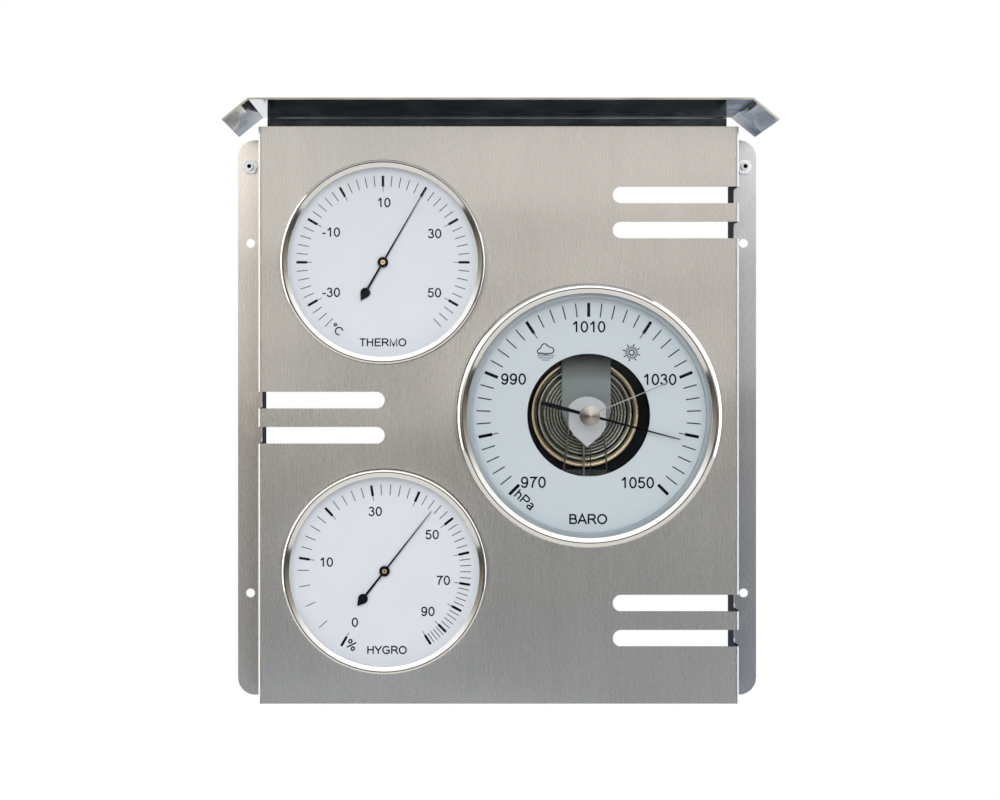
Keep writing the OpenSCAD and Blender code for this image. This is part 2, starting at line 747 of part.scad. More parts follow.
// Outline of the back plate and its two ears, in X and Z
module back_outline() {
    ear_top_z = back_low_z + ear_h;
    translate([-back_w / 2, back_low_z]) square([back_w, back_h - roof_bend_r]);
    for (side = [-1, 1])
        scale([side, 1]) polygon(concat(
            [[0, ear_top_z], [0, back_low_z]],
            arc([ear_x - ear_r, back_low_z + ear_r], ear_r, -90, 0),
            arc([ear_x - ear_r, ear_top_z - ear_r], ear_r, 0, 90)
        ));
}

module roof_hood() {
    color(polished) difference() {
        union() {
            translate([0, -roof_bend_r, roof_z]) rotate([90, 0, 0])
                linear_extrude(-roof_bend_r - roof_front_y) roof_section();
            translate([-back_w / 2, -roof_bend_r, roof_z - roof_bend_r]) rotate([90, 0, 90])
                linear_extrude(back_w) bend_quarter(roof_bend_r, roof_bend_r + roof_t, 1, 1);
            translate([0, roof_t, 0]) rotate([90, 0, 0]) linear_extrude(roof_t) back_outline();
        }
        for (side = [-1, 1])
            hole_along_y(stud_foot_d + 2 * run_gap, side * wall_hole_x, stud_z, -eps, roof_t + eps);
    }
}

// The two studs stand in the roof's ears and pass through the flanges
module roof_studs() {
    color(polished) for (side = [-1, 1])
        translate([side * wall_hole_x, 0, stud_z]) rotate([90, 0, 0]) difference() {
            union() {
                shaft(stud_foot_d, -roof_t, 0);
                shaft(stud_d, 0, sheet_t + stud_out);
            }
            translate([0, 0, sheet_t + stud_out - socket_depth])
                cylinder(d = socket_af / cos(30), h = socket_depth + eps, $fn = 6);
        }
}

module roof_nuts() {
    color(polished) for (side = [-1, 1])
        translate([side * wall_hole_x, -sheet_t, stud_z]) rotate([90, 0, 0]) difference() {
            cylinder(d = nut_af / cos(30), h = nut_h, $fn = 6);
            translate([0, 0, -eps]) cylinder(d = stud_d + 2 * run_gap, h = nut_h + 2 * eps);
        }
}

// A round cup with a lip at the front and a chamfer round its back
module case_cup(r, depth) {
    in_r = r - case_wall;
    bite = case_wall * tan(22.5);
    rotate_extrude($fn = 96) polygon([
        [0, -depth],
        [r - case_chamfer, -depth],
        [r, -depth + case_chamfer],
        [r, 0],
        [r + case_lip_w, 0],
        [r + case_lip_w, case_wall],
        [in_r, case_wall],
        [in_r, -depth + case_chamfer + bite],
        [r - case_chamfer - bite, -depth + case_wall],
        [0, -depth + case_wall]
    ]);
}

// A bezel: an upright wall round the stack, a rolled front edge, a groove and a cone inwards
module bezel(r_out, r_view, height, lip_r, stack_top) {
    wall_in = lip_r + stack_gap;
    roll = (r_out - wall_in) * bezel_roll_share;
    groove_r = r_out - groove_share * roll;
    edge = bezel_edge_h;
    rotate_extrude($fn = 96) polygon(concat(
        [[wall_in, 0], [r_out - edge, 0], [r_out, edge]],
        arc([r_out - roll, height - roll], roll, 0, 90),
        [
            [groove_r, height - edge / 4],
            [groove_r - groove_w / 2, height - edge / 4 - groove_depth],
            [groove_r - groove_w, height - edge / 3],
            [r_view + edge, stack_top + 2 * edge],
            [r_view, stack_top + edge],
            [r_view, stack_top],
            [wall_in, stack_top]
        ]
    ));
}

// A flat ring behind the panel, as wide as the bezel, with tongues that grip the case
module clamp_ring(case_r, bezel_r) {
    grip_r = case_r + clamp_gap;
    ring(bezel_r - clamp_inset, grip_r, -sheet_t - clamp_t, -sheet_t);
    for (i = [0:tongue_count - 1])
        rotate(90 + 360 * i / tongue_count)
            translate([0, 0, -sheet_t - clamp_t - tongue_len])
                linear_extrude(tongue_len) intersection() {
                    difference() {
                        circle(grip_r + case_wall, $fn = 96);
                        circle(grip_r, $fn = 96);
                    }
                    translate([0, -tongue_w / 2]) square([2 * grip_r, tongue_w]);
                }
}

// A strip bridge with two legs and two feet, standing on the back of its case
module strip_bridge() {
    half = bridge_len / 2;
    difference() {
        translate([0, bridge_w / 2, 0]) rotate([90, 0, 0]) linear_extrude(bridge_w) {
            translate([-half, bridge_rear]) square([bridge_len, bridge_t]);
            for (side = [-1, 1]) scale([side, 1]) {
                translate([half - bridge_t, small_back_in])
                    square([bridge_t, bridge_front - small_back_in]);
                translate([half - bridge_foot, small_back_in]) square([bridge_foot, bridge_t]);
            }
        }
        translate([0, 0, bridge_rear - eps]) cylinder(d = bush_d + 2 * run_gap, h = bridge_t + 2 * eps);
    }
}

// A bearing bush whose collar lies on the front of its bridge
module bush(front, thickness) {
    difference() {
        union() {
            shaft(bush_d, front - thickness - bush_tail, front);
            shaft(bush_collar_d, front, front + bush_collar_h);
        }
        translate([0, 0, front - thickness - bush_tail - eps])
            cylinder(d = bore_d, h = thickness + bush_tail + bush_collar_h + 2 * eps);
    }
}

// A flat spiral strip between two radii, with its lower edge at a height
module spiral_strip(r_in, r_out, turns, thickness, low, width) {
    pieces = 24;
    translate([0, 0, low]) linear_extrude(width) polygon(concat(
        spiral_side(r_in, r_out, turns, pieces, 0),
        reversed(spiral_side(r_in, r_out, turns, pieces, -thickness))
    ));
}

// A small pointer: a thin needle, a hub and a drop-shaped tail weight
module drop_pointer(reach) {
    side = tail_d / 2;
    drop = side * sin(25);
    translate([0, 0, pointer_low]) linear_extrude(pointer_t) difference() {
        union() {
            polygon([
                [-needle_w / 2, 0],
                [-needle_tip_w / 2, reach],
                [needle_tip_w / 2, reach],
                [needle_w / 2, 0],
                [tail_neck_w / 2, -tail_r],
                [-tail_neck_w / 2, -tail_r]
            ]);
            translate([0, -tail_r]) circle(side);
            polygon([[-side * cos(25), -tail_r - drop], [side * cos(25), -tail_r - drop], [0, -tail_tip_r]]);
        }
        circle(d = arbor_d);
    }
    ring(pointer_hub_d / 2, arbor_d / 2, pointer_low + pointer_t, pointer_high);
}

module thermo_case() {
    color(case_grey) on_thermo() difference() {
        case_cup(small_case_r, small_case_depth);
        translate([0, 0, -small_case_depth - eps])
            cylinder(d = adjuster_d + 2 * run_gap, h = case_wall + 2 * eps);
    }
}

module thermo_bezel() {
    color(polished) on_thermo()
        bezel(small_bezel_r, small_view_r, small_bezel_h, small_lip_r, small_stack_top);
}

module thermo_glass() {
    color(clear) on_thermo() shaft(2 * small_lip_r, small_glass_low, small_stack_top);
}

module thermo_spacer() {
    color(dark) on_thermo() ring(small_lip_r, small_view_r + spacer_step, dial_top, small_glass_low);
}

module thermo_dial() {
    color(dial_white) on_thermo() ring(small_lip_r, bush_d / 2, dial_low, dial_top);
}

module thermo_clamp_ring() {
    color(steel) on_thermo() clamp_ring(small_case_r, small_bezel_r);
}

module thermo_bridge() {
    color(plate_grey) on_thermo() strip_bridge();
}

module thermo_bush() {
    color(brass) on_thermo() bush(bridge_front, bridge_t);
}

// The arbor carries the collet of the bimetal coil and a brass cap in front of the pointer
module thermo_arbor() {
    color(brass) on_thermo() {
        shaft(arbor_d, coil_low - collet_over, pointer_high);
        shaft(arbor_cap_d, pointer_high, pointer_high + arbor_cap_h);
        shaft(collet_d, coil_low - collet_over, coil_high + collet_over);
    }
}

module thermo_pointer() {
    color(dark) on_thermo() rotate(-thermo_angle) drop_pointer(small_view_r - thermo_pointer_short);
}

module thermo_coil() {
    color(plate_grey) on_thermo() spiral_strip(
        collet_d / 2 + air + coil_strip_t, coil_r, coil_turns, coil_strip_t, coil_low, coil_strip_w
    );
}

// The adjuster turns in the back of the case and holds the coil's outer end on its pin
module thermo_adjuster() {
    pin_x = coil_r + air / 2 + coil_pin_d / 2;
    plate_top = small_back_in + adjuster_plate_t;
    color(brass) on_thermo() difference() {
        union() {
            shaft(adjuster_head_d, -small_case_depth - adjuster_head_h, -small_case_depth);
            shaft(adjuster_d, -small_case_depth, small_back_in);
            shaft(adjuster_head_d, small_back_in, plate_top);
            translate([0, -coil_pin_d / 2, small_back_in])
                cube([pin_x, coil_pin_d, adjuster_plate_t]);
            translate([pin_x, 0, small_back_in])
                cylinder(d = coil_pin_d, h = coil_high - small_back_in);
        }
        translate([-adjuster_head_d, -driver_slot_w / 2, -small_case_depth - adjuster_head_h - eps])
            cube([2 * adjuster_head_d, driver_slot_w, adjuster_head_h / 2 + eps]);
    }
}

// The hygrometer's case has vents, so that the outside air reaches the hair
module hygro_case() {
    screw_y = -hair_len - hair_clamp_size / 2;
    color(case_grey) on_hygro() difference() {
        case_cup(small_case_r, small_case_depth);
        for (i = [0:vent_count - 1])
            rotate(360 * (i + 0.5) / vent_count) translate([vent_ring_r, 0, -small_case_depth - eps])
                cylinder(d = vent_d, h = case_wall + 2 * eps);
        translate([hair_x, screw_y, -small_case_depth - eps])
            cylinder(d = hair_screw_d + 2 * run_gap, h = case_wall + 2 * eps);
    }
}

module hygro_bezel() {
    color(polished) on_hygro()
        bezel(small_bezel_r, small_view_r, small_bezel_h, small_lip_r, small_stack_top);
}

module hygro_glass() {
    color(clear) on_hygro() shaft(2 * small_lip_r, small_glass_low, small_stack_top);
}

module hygro_spacer() {
    color(dark) on_hygro() ring(small_lip_r, small_view_r + spacer_step, dial_top, small_glass_low);
}

module hygro_dial() {
    color(dial_white) on_hygro() ring(small_lip_r, bush_d / 2, dial_low, dial_top);
}

module hygro_clamp_ring() {
    color(steel) on_hygro() clamp_ring(small_case_r, small_bezel_r);
}

// The hygrometer's bridge also has the pin that holds the return spring's outer end
module hygro_bridge() {
    pin_x = hairspring_r + air / 2 + coil_pin_d / 2;
    color(plate_grey) on_hygro() {
        strip_bridge();
        translate([pin_x, 0, 0])
            shaft(coil_pin_d, hairspring_low - spring_over, bridge_rear);
    }
}

module hygro_bush() {
    color(brass) on_hygro() bush(bridge_front, bridge_t);
}

module hygro_arbor() {
    color(brass) on_hygro() {
        shaft(arbor_d, hairspring_low - spring_over, pointer_high);
        shaft(arbor_cap_d, pointer_high, pointer_high + arbor_cap_h);
        shaft(drum_d, drum_low, drum_high);
    }
}

module hygro_pointer() {
    color(dark) on_hygro() rotate(-hygro_angle) drop_pointer(small_view_r - hygro_pointer_short);
}

// The hair bundle runs from the side of the drum down to its clamp
module hygro_hair() {
    color([0.35, 0.22, 0.12]) on_hygro()
        rod([hair_x, 0, -drum_back], [hair_x, -hair_len, -drum_back], hair_d);
}

// The hair clamp stands on the back of the case and is held by the adjusting screw
module hygro_hair_clamp() {
    size = hair_clamp_size;
    color(brass) on_hygro() difference() {
        translate([hair_x - size / 2, -hair_len - size, small_back_in])
            cube([size, size, hair_clamp_high - small_back_in]);
        translate([hair_x, -hair_len - size / 2, small_back_in - eps])
            cylinder(d = hair_screw_d + 2 * run_gap, h = size + eps);
    }
}

module hygro_spring() {
    color(plate_grey) on_hygro() spiral_strip(
        arbor_d / 2 + air + spring_strip_t, hairspring_r, hairspring_turns, spring_strip_t,
        hairspring_low, spring_strip_w
    );
}

// The screw turns in the back of the case and reaches into the hair clamp
module hygro_screw() {
    head_low = -small_case_depth - adjuster_head_h;
    color(polished) on_hygro() translate([hair_x, -hair_len - hair_clamp_size / 2, 0]) difference() {
        union() {
            shaft(hair_screw_head_d, head_low, -small_case_depth);
            shaft(hair_screw_d, -small_case_depth, small_back_in + hair_clamp_size - air);
        }
        translate([-hair_screw_head_d, -driver_slot_w / 2, head_low - eps])
            cube([2 * hair_screw_head_d, driver_slot_w, adjuster_head_h / 2 + eps]);
    }
}

module baro_case() {
    color(case_grey) on_baro() difference() {
        case_cup(baro_case_r, baro_case_depth);
        translate([0, 0, -baro_case_depth - eps])
            cylinder(d = baro_screw_d + 2 * run_gap, h = case_wall + 2 * eps);
        for (a = case_screw_angles)
            rotate(a) translate([case_screw_ring_r, 0, -baro_case_depth - eps])
                cylinder(d = case_screw_d + 2 * run_gap, h = case_wall + 2 * eps);
    }
}

module baro_bezel() {
    color(polished) on_baro()
        bezel(baro_bezel_r, baro_view_r, baro_bezel_h, baro_lip_r, baro_stack_top);
}

module baro_glass() {
    color(clear) on_baro()
        ring(baro_lip_r, spindle_d / 2 + run_gap, baro_glass_low, baro_stack_top);
}

module baro_spacer() {
    color([0.6, 0.68, 0.75]) on_baro()
        ring(baro_lip_r, baro_spacer_r, dial_top, baro_glass_low);
}

module baro_dial() {
    color(dial_white) on_baro() ring(baro_lip_r, window_d / 2, dial_low, dial_top);
}

module baro_clamp_ring() {
    color(steel) on_baro() clamp_ring(baro_case_r, baro_bezel_r);
}

module baro_base_plate() {
    color(plate_grey) on_baro() difference() {
        shaft(2 * base_plate_r, baro_back_in, plate_top);
        translate([0, 0, baro_back_in - eps])
            cylinder(d = baro_screw_d + 2 * run_gap, h = base_plate_t + 2 * eps);
        for (a = case_screw_angles)
            rotate(a) translate([case_screw_ring_r, 0, baro_back_in - eps])
                cylinder(d = case_screw_d + 2 * run_gap, h = base_plate_t + 2 * eps);
        for (side = [-1, 1])
            translate([side * main_bridge_w / 4, foot_y + main_foot / 2, baro_back_in - eps])
                cylinder(d = bridge_screw_d + 2 * run_gap, h = base_plate_t + 2 * eps);
    }
}

module baro_case_screws() {
    head_low = -baro_case_depth - screw_head_h;
    color(polished) on_baro() for (a = case_screw_angles)
        rotate(a) translate([case_screw_ring_r, 0, 0]) difference() {
            union() {
                shaft(case_screw_d, -baro_case_depth, plate_top);
                shaft(screw_head_share * case_screw_d, head_low, -baro_case_depth);
            }
            translate([-case_screw_d, -driver_slot_w / 2, head_low - eps])
                cube([2 * case_screw_d, driver_slot_w, screw_slot_depth + eps]);
        }
}

// Two corrugated skins joined at the rim, with a hub at the front and one at the back
module aneroid_capsule() {
    steps = 72;
    radii = [for (i = [0:steps]) capsule_hub_r + (capsule_r - capsule_hub_r) * i / steps];
    front = [for (r = radii) [r, capsule_high + capsule_wave(r)]];
    back = [for (r = reversed(radii)) [r, capsule_low - capsule_wave(r)]];
    color(brass) on_baro() difference() {
        rotate_extrude($fn = 96) polygon(concat(
            [[0, capsule_hub_top], [capsule_hub_r, capsule_hub_top]],
            front,
            back,
            [[capsule_hub_r, plate_top], [0, plate_top]]
        ));
        translate([0, 0, capsule_hub_top - stud_seat])
            cylinder(d = capsule_stud_d + 2 * run_gap, h = stud_seat + eps);
    }
}

// The stud rises and falls with the capsule and carries the main lever
module capsule_stud() {
    color(polished) on_baro()
        shaft(capsule_stud_d, capsule_hub_top - stud_seat + air, lever_low - air);
}

// The grey bridge: a leg on the base plate and a broad strip across the capsule
module main_bridge() {
    half = main_bridge_w / 2;
    end_half = main_bridge_end_w / 2;
    color(plate_grey) on_baro() difference() {
        union() {
            translate([0, 0, main_bridge_rear]) linear_extrude(bridge_t) polygon([
                [-half, foot_y],
                [-half, main_bridge_taper],
                [-end_half, -main_bridge_down],
                [end_half, -main_bridge_down],
                [half, main_bridge_taper],
                [half, foot_y]
            ]);
            translate([-half, main_bridge_up, plate_top])
                cube([main_bridge_w, bridge_t, main_bridge_rear - plate_top]);
            translate([-half, main_bridge_up, plate_top])
                cube([main_bridge_w, bridge_t + main_foot, bridge_t]);
        }
        translate([0, 0, main_bridge_rear - eps])
            cylinder(d = bush_d + 2 * run_gap, h = bridge_t + 2 * eps);
        for (side = [-1, 1])
            translate([side * main_bridge_w / 4, foot_y + main_foot / 2, plate_top - eps])
                cylinder(d = bridge_screw_d + 2 * run_gap, h = bridge_t + 2 * eps);
    }
}

module bridge_screws() {
    head_low = plate_top + bridge_t;
    head_high = head_low + screw_head_h;
    color(polished) on_baro() for (side = [-1, 1])
        translate([side * main_bridge_w / 4, foot_y + main_foot / 2, 0]) difference() {
            union() {
                shaft(bridge_screw_d, baro_back_in, head_low);
                shaft(screw_head_share * bridge_screw_d, head_low, head_high);
            }
            translate([-bridge_screw_d, -driver_slot_w / 2, head_high - screw_slot_depth])
                cube([2 * bridge_screw_d, driver_slot_w, screw_slot_depth + eps]);
        }
}

// The silver shield has a round top and a pointed foot
module shield_plate() {
    half = shield_w / 2;
    rise = shield_up - shield_shoulder;
    r = (half * half + rise * rise) / (2 * rise);
    sweep = asin(half / r);
    knee_y = -shield_taper - (shield_down - shield_taper) * shield_knee_low;
    outline = concat(
        arc([0, shield_up - r], r, 90 - sweep, 90 + sweep, 12),
        [
            [-half, -shield_taper],
            [-half * shield_knee_w, knee_y],
            [0, -shield_down],
            [half * shield_knee_w, knee_y],
            [half, -shield_taper]
        ]
    );
    color(polished) on_baro() translate([0, 0, shield_rear]) linear_extrude(shield_t) difference() {
        polygon(outline);
        circle(d = arbor_d + 2 * air);
    }
}

module shield_posts() {
    color(polished) on_baro() for (side = [-1, 1])
        translate([side * shield_post_span / 2, 0, 0])
            shaft(shield_post_d, main_bridge_front, shield_rear);
}

// Two ears under the bridge hold the main lever's pivot pin
module lever_bracket() {
    ear_inner = lever_w / 2 + air;
    ear_w = lever_pin_d + 2 * lever_ear_rim;
    low = -lever_back - lever_pin_d / 2 - lever_ear_rim;
    color(plate_grey) on_baro() for (side = [-1, 1])
        mirror([side > 0 ? 0 : 1, 0, 0]) difference() {
            translate([ear_inner, lever_up - ear_w / 2, low])
                cube([lever_ear_t, ear_w, main_bridge_rear - low]);
            translate([ear_inner - eps, lever_up, -lever_back]) rotate([0, 90, 0])
                cylinder(d = lever_pin_d + 2 * run_gap, h = lever_ear_t + 2 * eps);
        }
}

// The main lever: a broad plate over the stud, then a thin rod down to the rocking shaft
module main_lever() {
    rod_end = -rocker_down - finger_down - finger_d;
    pin_half = lever_w / 2 + air + lever_ear_t;
    neck_y = -main_bridge_down;
    neck_half = lever_neck_w / 2;
    color(polished) on_baro() {
        translate([0, 0, lever_low]) linear_extrude(lever_t) polygon([
            [-lever_w / 2, lever_up],
            [-lever_w / 2, lever_plate_low],
            [lever_rod_x - neck_half, neck_y],
            [lever_rod_x + neck_half, neck_y],
            [lever_w / 2, lever_plate_low],
            [lever_w / 2, lever_up]
        ]);
        translate([-pin_half, lever_up, -lever_back]) rotate([0, 90, 0])
            cylinder(d = lever_pin_d, h = 2 * pin_half);
        rod([lever_rod_x, neck_y + neck_half, -lever_back], [lever_rod_x, rod_end, -lever_back], lever_rod_d);
    }
}

// The frame on the base plate that holds the rocking shaft in two ears
module rocker_frame() {
    color(case_grey) on_baro() {
        translate([-rocker_span / 2 - rocker_ear_t, -rocker_down - rocker_ear_w / 2, plate_top])
            cube([rocker_span + 2 * rocker_ear_t, rocker_ear_w, rocker_floor_t]);
        for (side = [-1, 1]) mirror([side > 0 ? 0 : 1, 0, 0]) difference() {
            translate([rocker_span / 2, -rocker_down - rocker_ear_w / 2, plate_top])
                cube([rocker_ear_t, rocker_ear_w, rocker_ear_high - plate_top]);
            translate([rocker_span / 2 - eps, -rocker_down, rocker_h]) rotate([0, 90, 0])
                cylinder(d = rocker_d + 2 * run_gap, h = rocker_ear_t + 2 * eps);
        }
    }
}

// The rocking shaft: a finger that lies on the main lever and an arm that pulls the chain
module rocking_shaft() {
    half = rocker_span / 2 + rocker_ear_t;
    chain_x = chain_drum_d / 2 + air + chain_d / 2;
    finger_x = lever_rod_x - finger_side;
    color(polished) on_baro() translate([0, -rocker_down, rocker_h]) {
        translate([-half, 0, 0]) rotate([0, 90, 0]) cylinder(d = rocker_d, h = 2 * half);
        rod([finger_x, 0, 0], [finger_x, -finger_down, finger_up], finger_d);
        rod([finger_x - finger_d / 2, -finger_down, finger_up],
            [lever_rod_x + finger_past, -finger_down, finger_up], finger_d);
        rod([chain_x, 0, 0],
            [chain_x, -rocker_arm * sin(rocker_lean), rocker_arm * cos(rocker_lean)], finger_d);
    }
}

// Two slender wires run from the bridge's lower corners to the rocking shaft's frame
module side_wires() {
    top_y = -main_bridge_down - air;
    foot_h = rocker_h - rocker_d;
    color(polished) on_baro() for (side = [-1, 1])
        rod([side * (main_bridge_end_w / 2 - side_wire_d), top_y, main_bridge_front - bridge_t / 2],
            [side * (rocker_span / 2 - side_wire_d / 2), -rocker_down + rocker_ear_w / 2 + air, foot_h],
            side_wire_d);
}

// The chain hangs from the side of its drum to the tip of the rocking shaft's arm
module pointer_chain() {
    chain_x = chain_drum_d / 2 + air + chain_d / 2;
    tip_y = -rocker_down - rocker_arm * sin(rocker_lean) + finger_d / 2 + air;
    tip_h = rocker_h + rocker_arm * cos(rocker_lean) - finger_d / 2;
    color(brass) on_baro() rod([chain_x, 0, chain_h], [chain_x, tip_y, tip_h], chain_d);
}

module baro_bush() {
    color(brass) on_baro() bush(main_bridge_front, bridge_t);
}

module baro_arbor() {
    color(brass) on_baro() {
        shaft(arbor_d, main_bridge_rear - bush_tail, baro_pointer_low + 2 * pointer_t);
        shaft(chain_drum_d, chain_drum_low, chain_drum_high);
    }
}

module baro_hairspring() {
    color(brass) on_baro() spiral_strip(
        arbor_d / 2 + air + spring_strip_t, baro_spring_r, hairspring_turns, spring_strip_t,
        baro_spring_low, baro_strip_w
    );
}

// The barometer's pointer: a needle one way and a widening tail the other way
module baro_pointer() {
    reach = baro_spacer_r - baro_pointer_short;
    color(dark) on_baro() rotate(-baro_angle) {
        translate([0, 0, baro_pointer_low]) linear_extrude(pointer_t) difference() {
            polygon([
                [-baro_needle_w / 2, 0],
                [-baro_needle_tip_w / 2, reach],
                [baro_needle_tip_w / 2, reach],
                [baro_needle_w / 2, 0],
                [baro_tail_w / 2, -baro_tail_r],
                [-baro_tail_w / 2, -baro_tail_r]
            ]);
            circle(d = arbor_d);
        }
        ring(pointer_hub_d / 2, arbor_d / 2, baro_pointer_low + pointer_t, baro_pointer_low + 2 * pointer_t);
    }
}

// The marker hand is a thin blade on a small ring, under the glass
module marker_hand() {
    reach = baro_spacer_r - marker_short;
    root = (spindle_d + marker_ring_w) / 2;
    color(polished) on_baro() rotate(-marker_angle) {
        ring(spindle_d / 2 + marker_ring_w, spindle_d / 2, marker_low, marker_high);
        translate([-marker_w / 2, root, marker_low]) cube([marker_w, reach - root, pointer_t]);
    }
}

// The knob: a spindle through the glass, a short drum and a turned cone
module marker_knob() {
    foot = baro_stack_top + air;
    color(polished) on_baro() {
        shaft(spindle_d, marker_low, foot);
        shaft(knob_d, foot, foot + knob_side);
        translate([0, 0, foot + knob_side]) cylinder(d1 = knob_d, d2 = knob_tip_d, h = knob_cone);
    }
}

// The adjusting screw reaches through the case and the base plate to the capsule
module baro_screw() {
    low = -baro_case_depth - baro_screw_out;
    color(polished) on_baro() difference() {
        shaft(baro_screw_d, low, plate_top - air);
        translate([-baro_screw_d, -driver_slot_w / 2, low - eps])
            cube([2 * baro_screw_d, driver_slot_w, screw_slot_depth + eps]);
    }
}

front_housing();
roof_hood();
roof_studs();
roof_nuts();
thermo_case();
thermo_bezel();
thermo_glass();
thermo_spacer();
thermo_dial();
thermo_clamp_ring();
thermo_bridge();
thermo_bush();
thermo_arbor();
thermo_pointer();
thermo_coil();
thermo_adjuster();
hygro_case();
hygro_bezel();
hygro_glass();
hygro_spacer();
hygro_dial();
hygro_clamp_ring();
hygro_bridge();
hygro_bush();
hygro_arbor();
hygro_pointer();
hygro_hair();
hygro_hair_clamp();
hygro_spring();
hygro_screw();
baro_case();
baro_bezel();
baro_glass();
baro_spacer();
baro_dial();
baro_clamp_ring();
baro_base_plate();
baro_case_screws();
aneroid_capsule();
capsule_stud();
main_bridge();
bridge_screws();
shield_plate();
shield_posts();
lever_bracket();
main_lever();
rocker_frame();
rocking_shaft();
side_wires();
pointer_chain();
baro_bush();
baro_arbor();
baro_hairspring();
baro_pointer();
marker_hand();
marker_knob();
baro_screw();
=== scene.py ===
"""Looks of a wall weather station: brushed housing, mirror hood, three round instruments."""

import logging
import math
from dataclasses import dataclass
from enum import Enum
from functools import cache

import bpy
import numpy as np
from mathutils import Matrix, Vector


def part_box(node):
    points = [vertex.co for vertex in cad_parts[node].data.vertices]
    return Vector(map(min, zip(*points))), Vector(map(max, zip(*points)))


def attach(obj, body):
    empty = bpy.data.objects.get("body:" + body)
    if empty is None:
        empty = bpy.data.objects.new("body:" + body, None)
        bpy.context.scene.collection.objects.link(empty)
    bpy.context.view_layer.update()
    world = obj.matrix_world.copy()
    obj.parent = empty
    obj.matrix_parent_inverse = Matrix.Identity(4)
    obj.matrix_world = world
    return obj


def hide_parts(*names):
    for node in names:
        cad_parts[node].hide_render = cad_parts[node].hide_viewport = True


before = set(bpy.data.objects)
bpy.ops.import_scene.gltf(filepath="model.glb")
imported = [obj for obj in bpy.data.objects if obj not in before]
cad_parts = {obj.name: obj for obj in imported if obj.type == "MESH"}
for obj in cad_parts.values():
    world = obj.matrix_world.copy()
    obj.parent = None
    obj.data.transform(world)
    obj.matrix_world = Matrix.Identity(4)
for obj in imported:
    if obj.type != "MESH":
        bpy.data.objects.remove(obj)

log = logging.getLogger("weather_station")
Array = np.ndarray
Socket = bpy.types.NodeSocket
Colour = tuple[float, float, float]
Place = tuple[float, float, float]
Stops = list[tuple[float, Colour]]
Line = tuple[Array, float]
MM = 0.001
TURN = 2 * math.pi
WHITE = (1.0, 1.0, 1.0)
SMALL_RIM = 51.3
LARGE_RIM = 66.3


def grid_faces(rows: int, cols: int, wrap_rows: bool, wrap_cols: bool) -> Array:
    """Quads of a grid of points: each joins a point, the next row, and the next column.

    Args:
        rows: Number of points along the first parameter.
        cols: Number of points along the second parameter.
        wrap_rows: Whether the last row joins the first.
        wrap_cols: Whether the last column joins the first.

    Returns:
        An (n, 4) array of point numbers.
    """
    a = np.arange(rows if wrap_rows else rows - 1)[:, None]
    b = np.arange(cols if wrap_cols else cols - 1)[None, :]
    a2, b2 = (a + 1) % rows, (b + 1) % cols
    quads = np.stack([a * cols + b, a2 * cols + b, a2 * cols + b2, a * cols + b2], -1)
    return quads.reshape(-1, 4)


@dataclass
class Shell:
    """Points, faces and UV of one surface, in millimetres on a dial's axis."""

    points: Array
    quads: Array
    fans: list[list[int]]
    uv: Array

    @staticmethod
    def join(shells: list["Shell"]) -> "Shell":
        """Puts several shells into one, with their point numbers moved on.

        Args:
            shells: The shells.

        Returns:
            One shell that holds them all.
        """
        start = np.cumsum([0] + [len(s.points) for s in shells])
        fans = [[i + int(o) for i in f] for s, o in zip(shells, start) for f in s.fans]
        return Shell(
            np.concatenate([s.points for s in shells]),
            np.concatenate([s.quads + o for s, o in zip(shells, start)]),
            fans,
            np.concatenate([s.uv for s in shells]),
        )

    def turned(self, degrees: float) -> "Shell":
        """Turned about the dial's axis: x' = x cos a + y sin a, y' = y cos a - x sin a.

        Args:
            degrees: The angle a, clockwise.

        Returns:
            The turned shell.
        """
        a = math.radians(degrees)
        x, y, h = self.points.T
        c, s = math.cos(a), math.sin(a)
        moved = np.stack([x * c + y * s, y * c - x * s, h], 1)
        return Shell(moved, self.quads, self.fans, self.uv)

    def moved(self, x: float, y: float) -> "Shell":
        """Moved across the dial by x and y."""
        return Shell(self.points + np.array([x, y, 0.0]), self.quads, self.fans, self.uv)


def lathe(profile: Array, segments: int = 192) -> Shell:
    """A profile of (radius, height) turned once about the dial's axis.

    The point at angle t and profile place p is (r(p) cos t, r(p) sin t, h(p)). A profile whose
    ends lie on the axis is closed by a fan there; any other profile is a closed loop.

    Args:
        profile: (n, 2) array of radius and height, with the outside on its right hand.
        segments: Number of steps round the axis.

    Returns:
        The turned shell, with u round the axis and v along the profile.
    """
    on_axis = profile[0, 0] < 1e-6
    body = profile[1:-1] if on_axis else profile
    t = np.linspace(0, TURN, segments, endpoint=False)
    r, h = body[:, 0][None, :], body[:, 1][None, :]
    x, y = r * np.cos(t)[:, None], r * np.sin(t)[:, None]
    points = np.stack([x, y, np.broadcast_to(h, x.shape)], -1).reshape(-1, 3)
    quads = grid_faces(segments, len(body), True, not on_axis)
    run = np.concatenate([[0], np.cumsum(np.hypot(*np.diff(body, axis=0).T))])
    uv = np.stack([np.broadcast_to(t[:, None] / TURN, x.shape),
                   np.broadcast_to(run[None, :], x.shape)], -1).reshape(-1, 2)
    fans: list[list[int]] = []
    if on_axis:
        n, last = len(body), len(points)
        ends = np.array([[0, 0, profile[0, 1]], [0, 0, profile[-1, 1]]], float)
        points = np.concatenate([points, ends])
        uv = np.concatenate([uv, [[0, 0], [0, run[-1]]]])
        near = np.arange(segments) * n
        far = near + n - 1
        fans += np.stack([np.full(segments, last), np.roll(near, -1), near], 1).tolist()
        fans += np.stack([np.full(segments, last + 1), far, np.roll(far, -1)], 1).tolist()
    return Shell(points, quads, fans, uv)


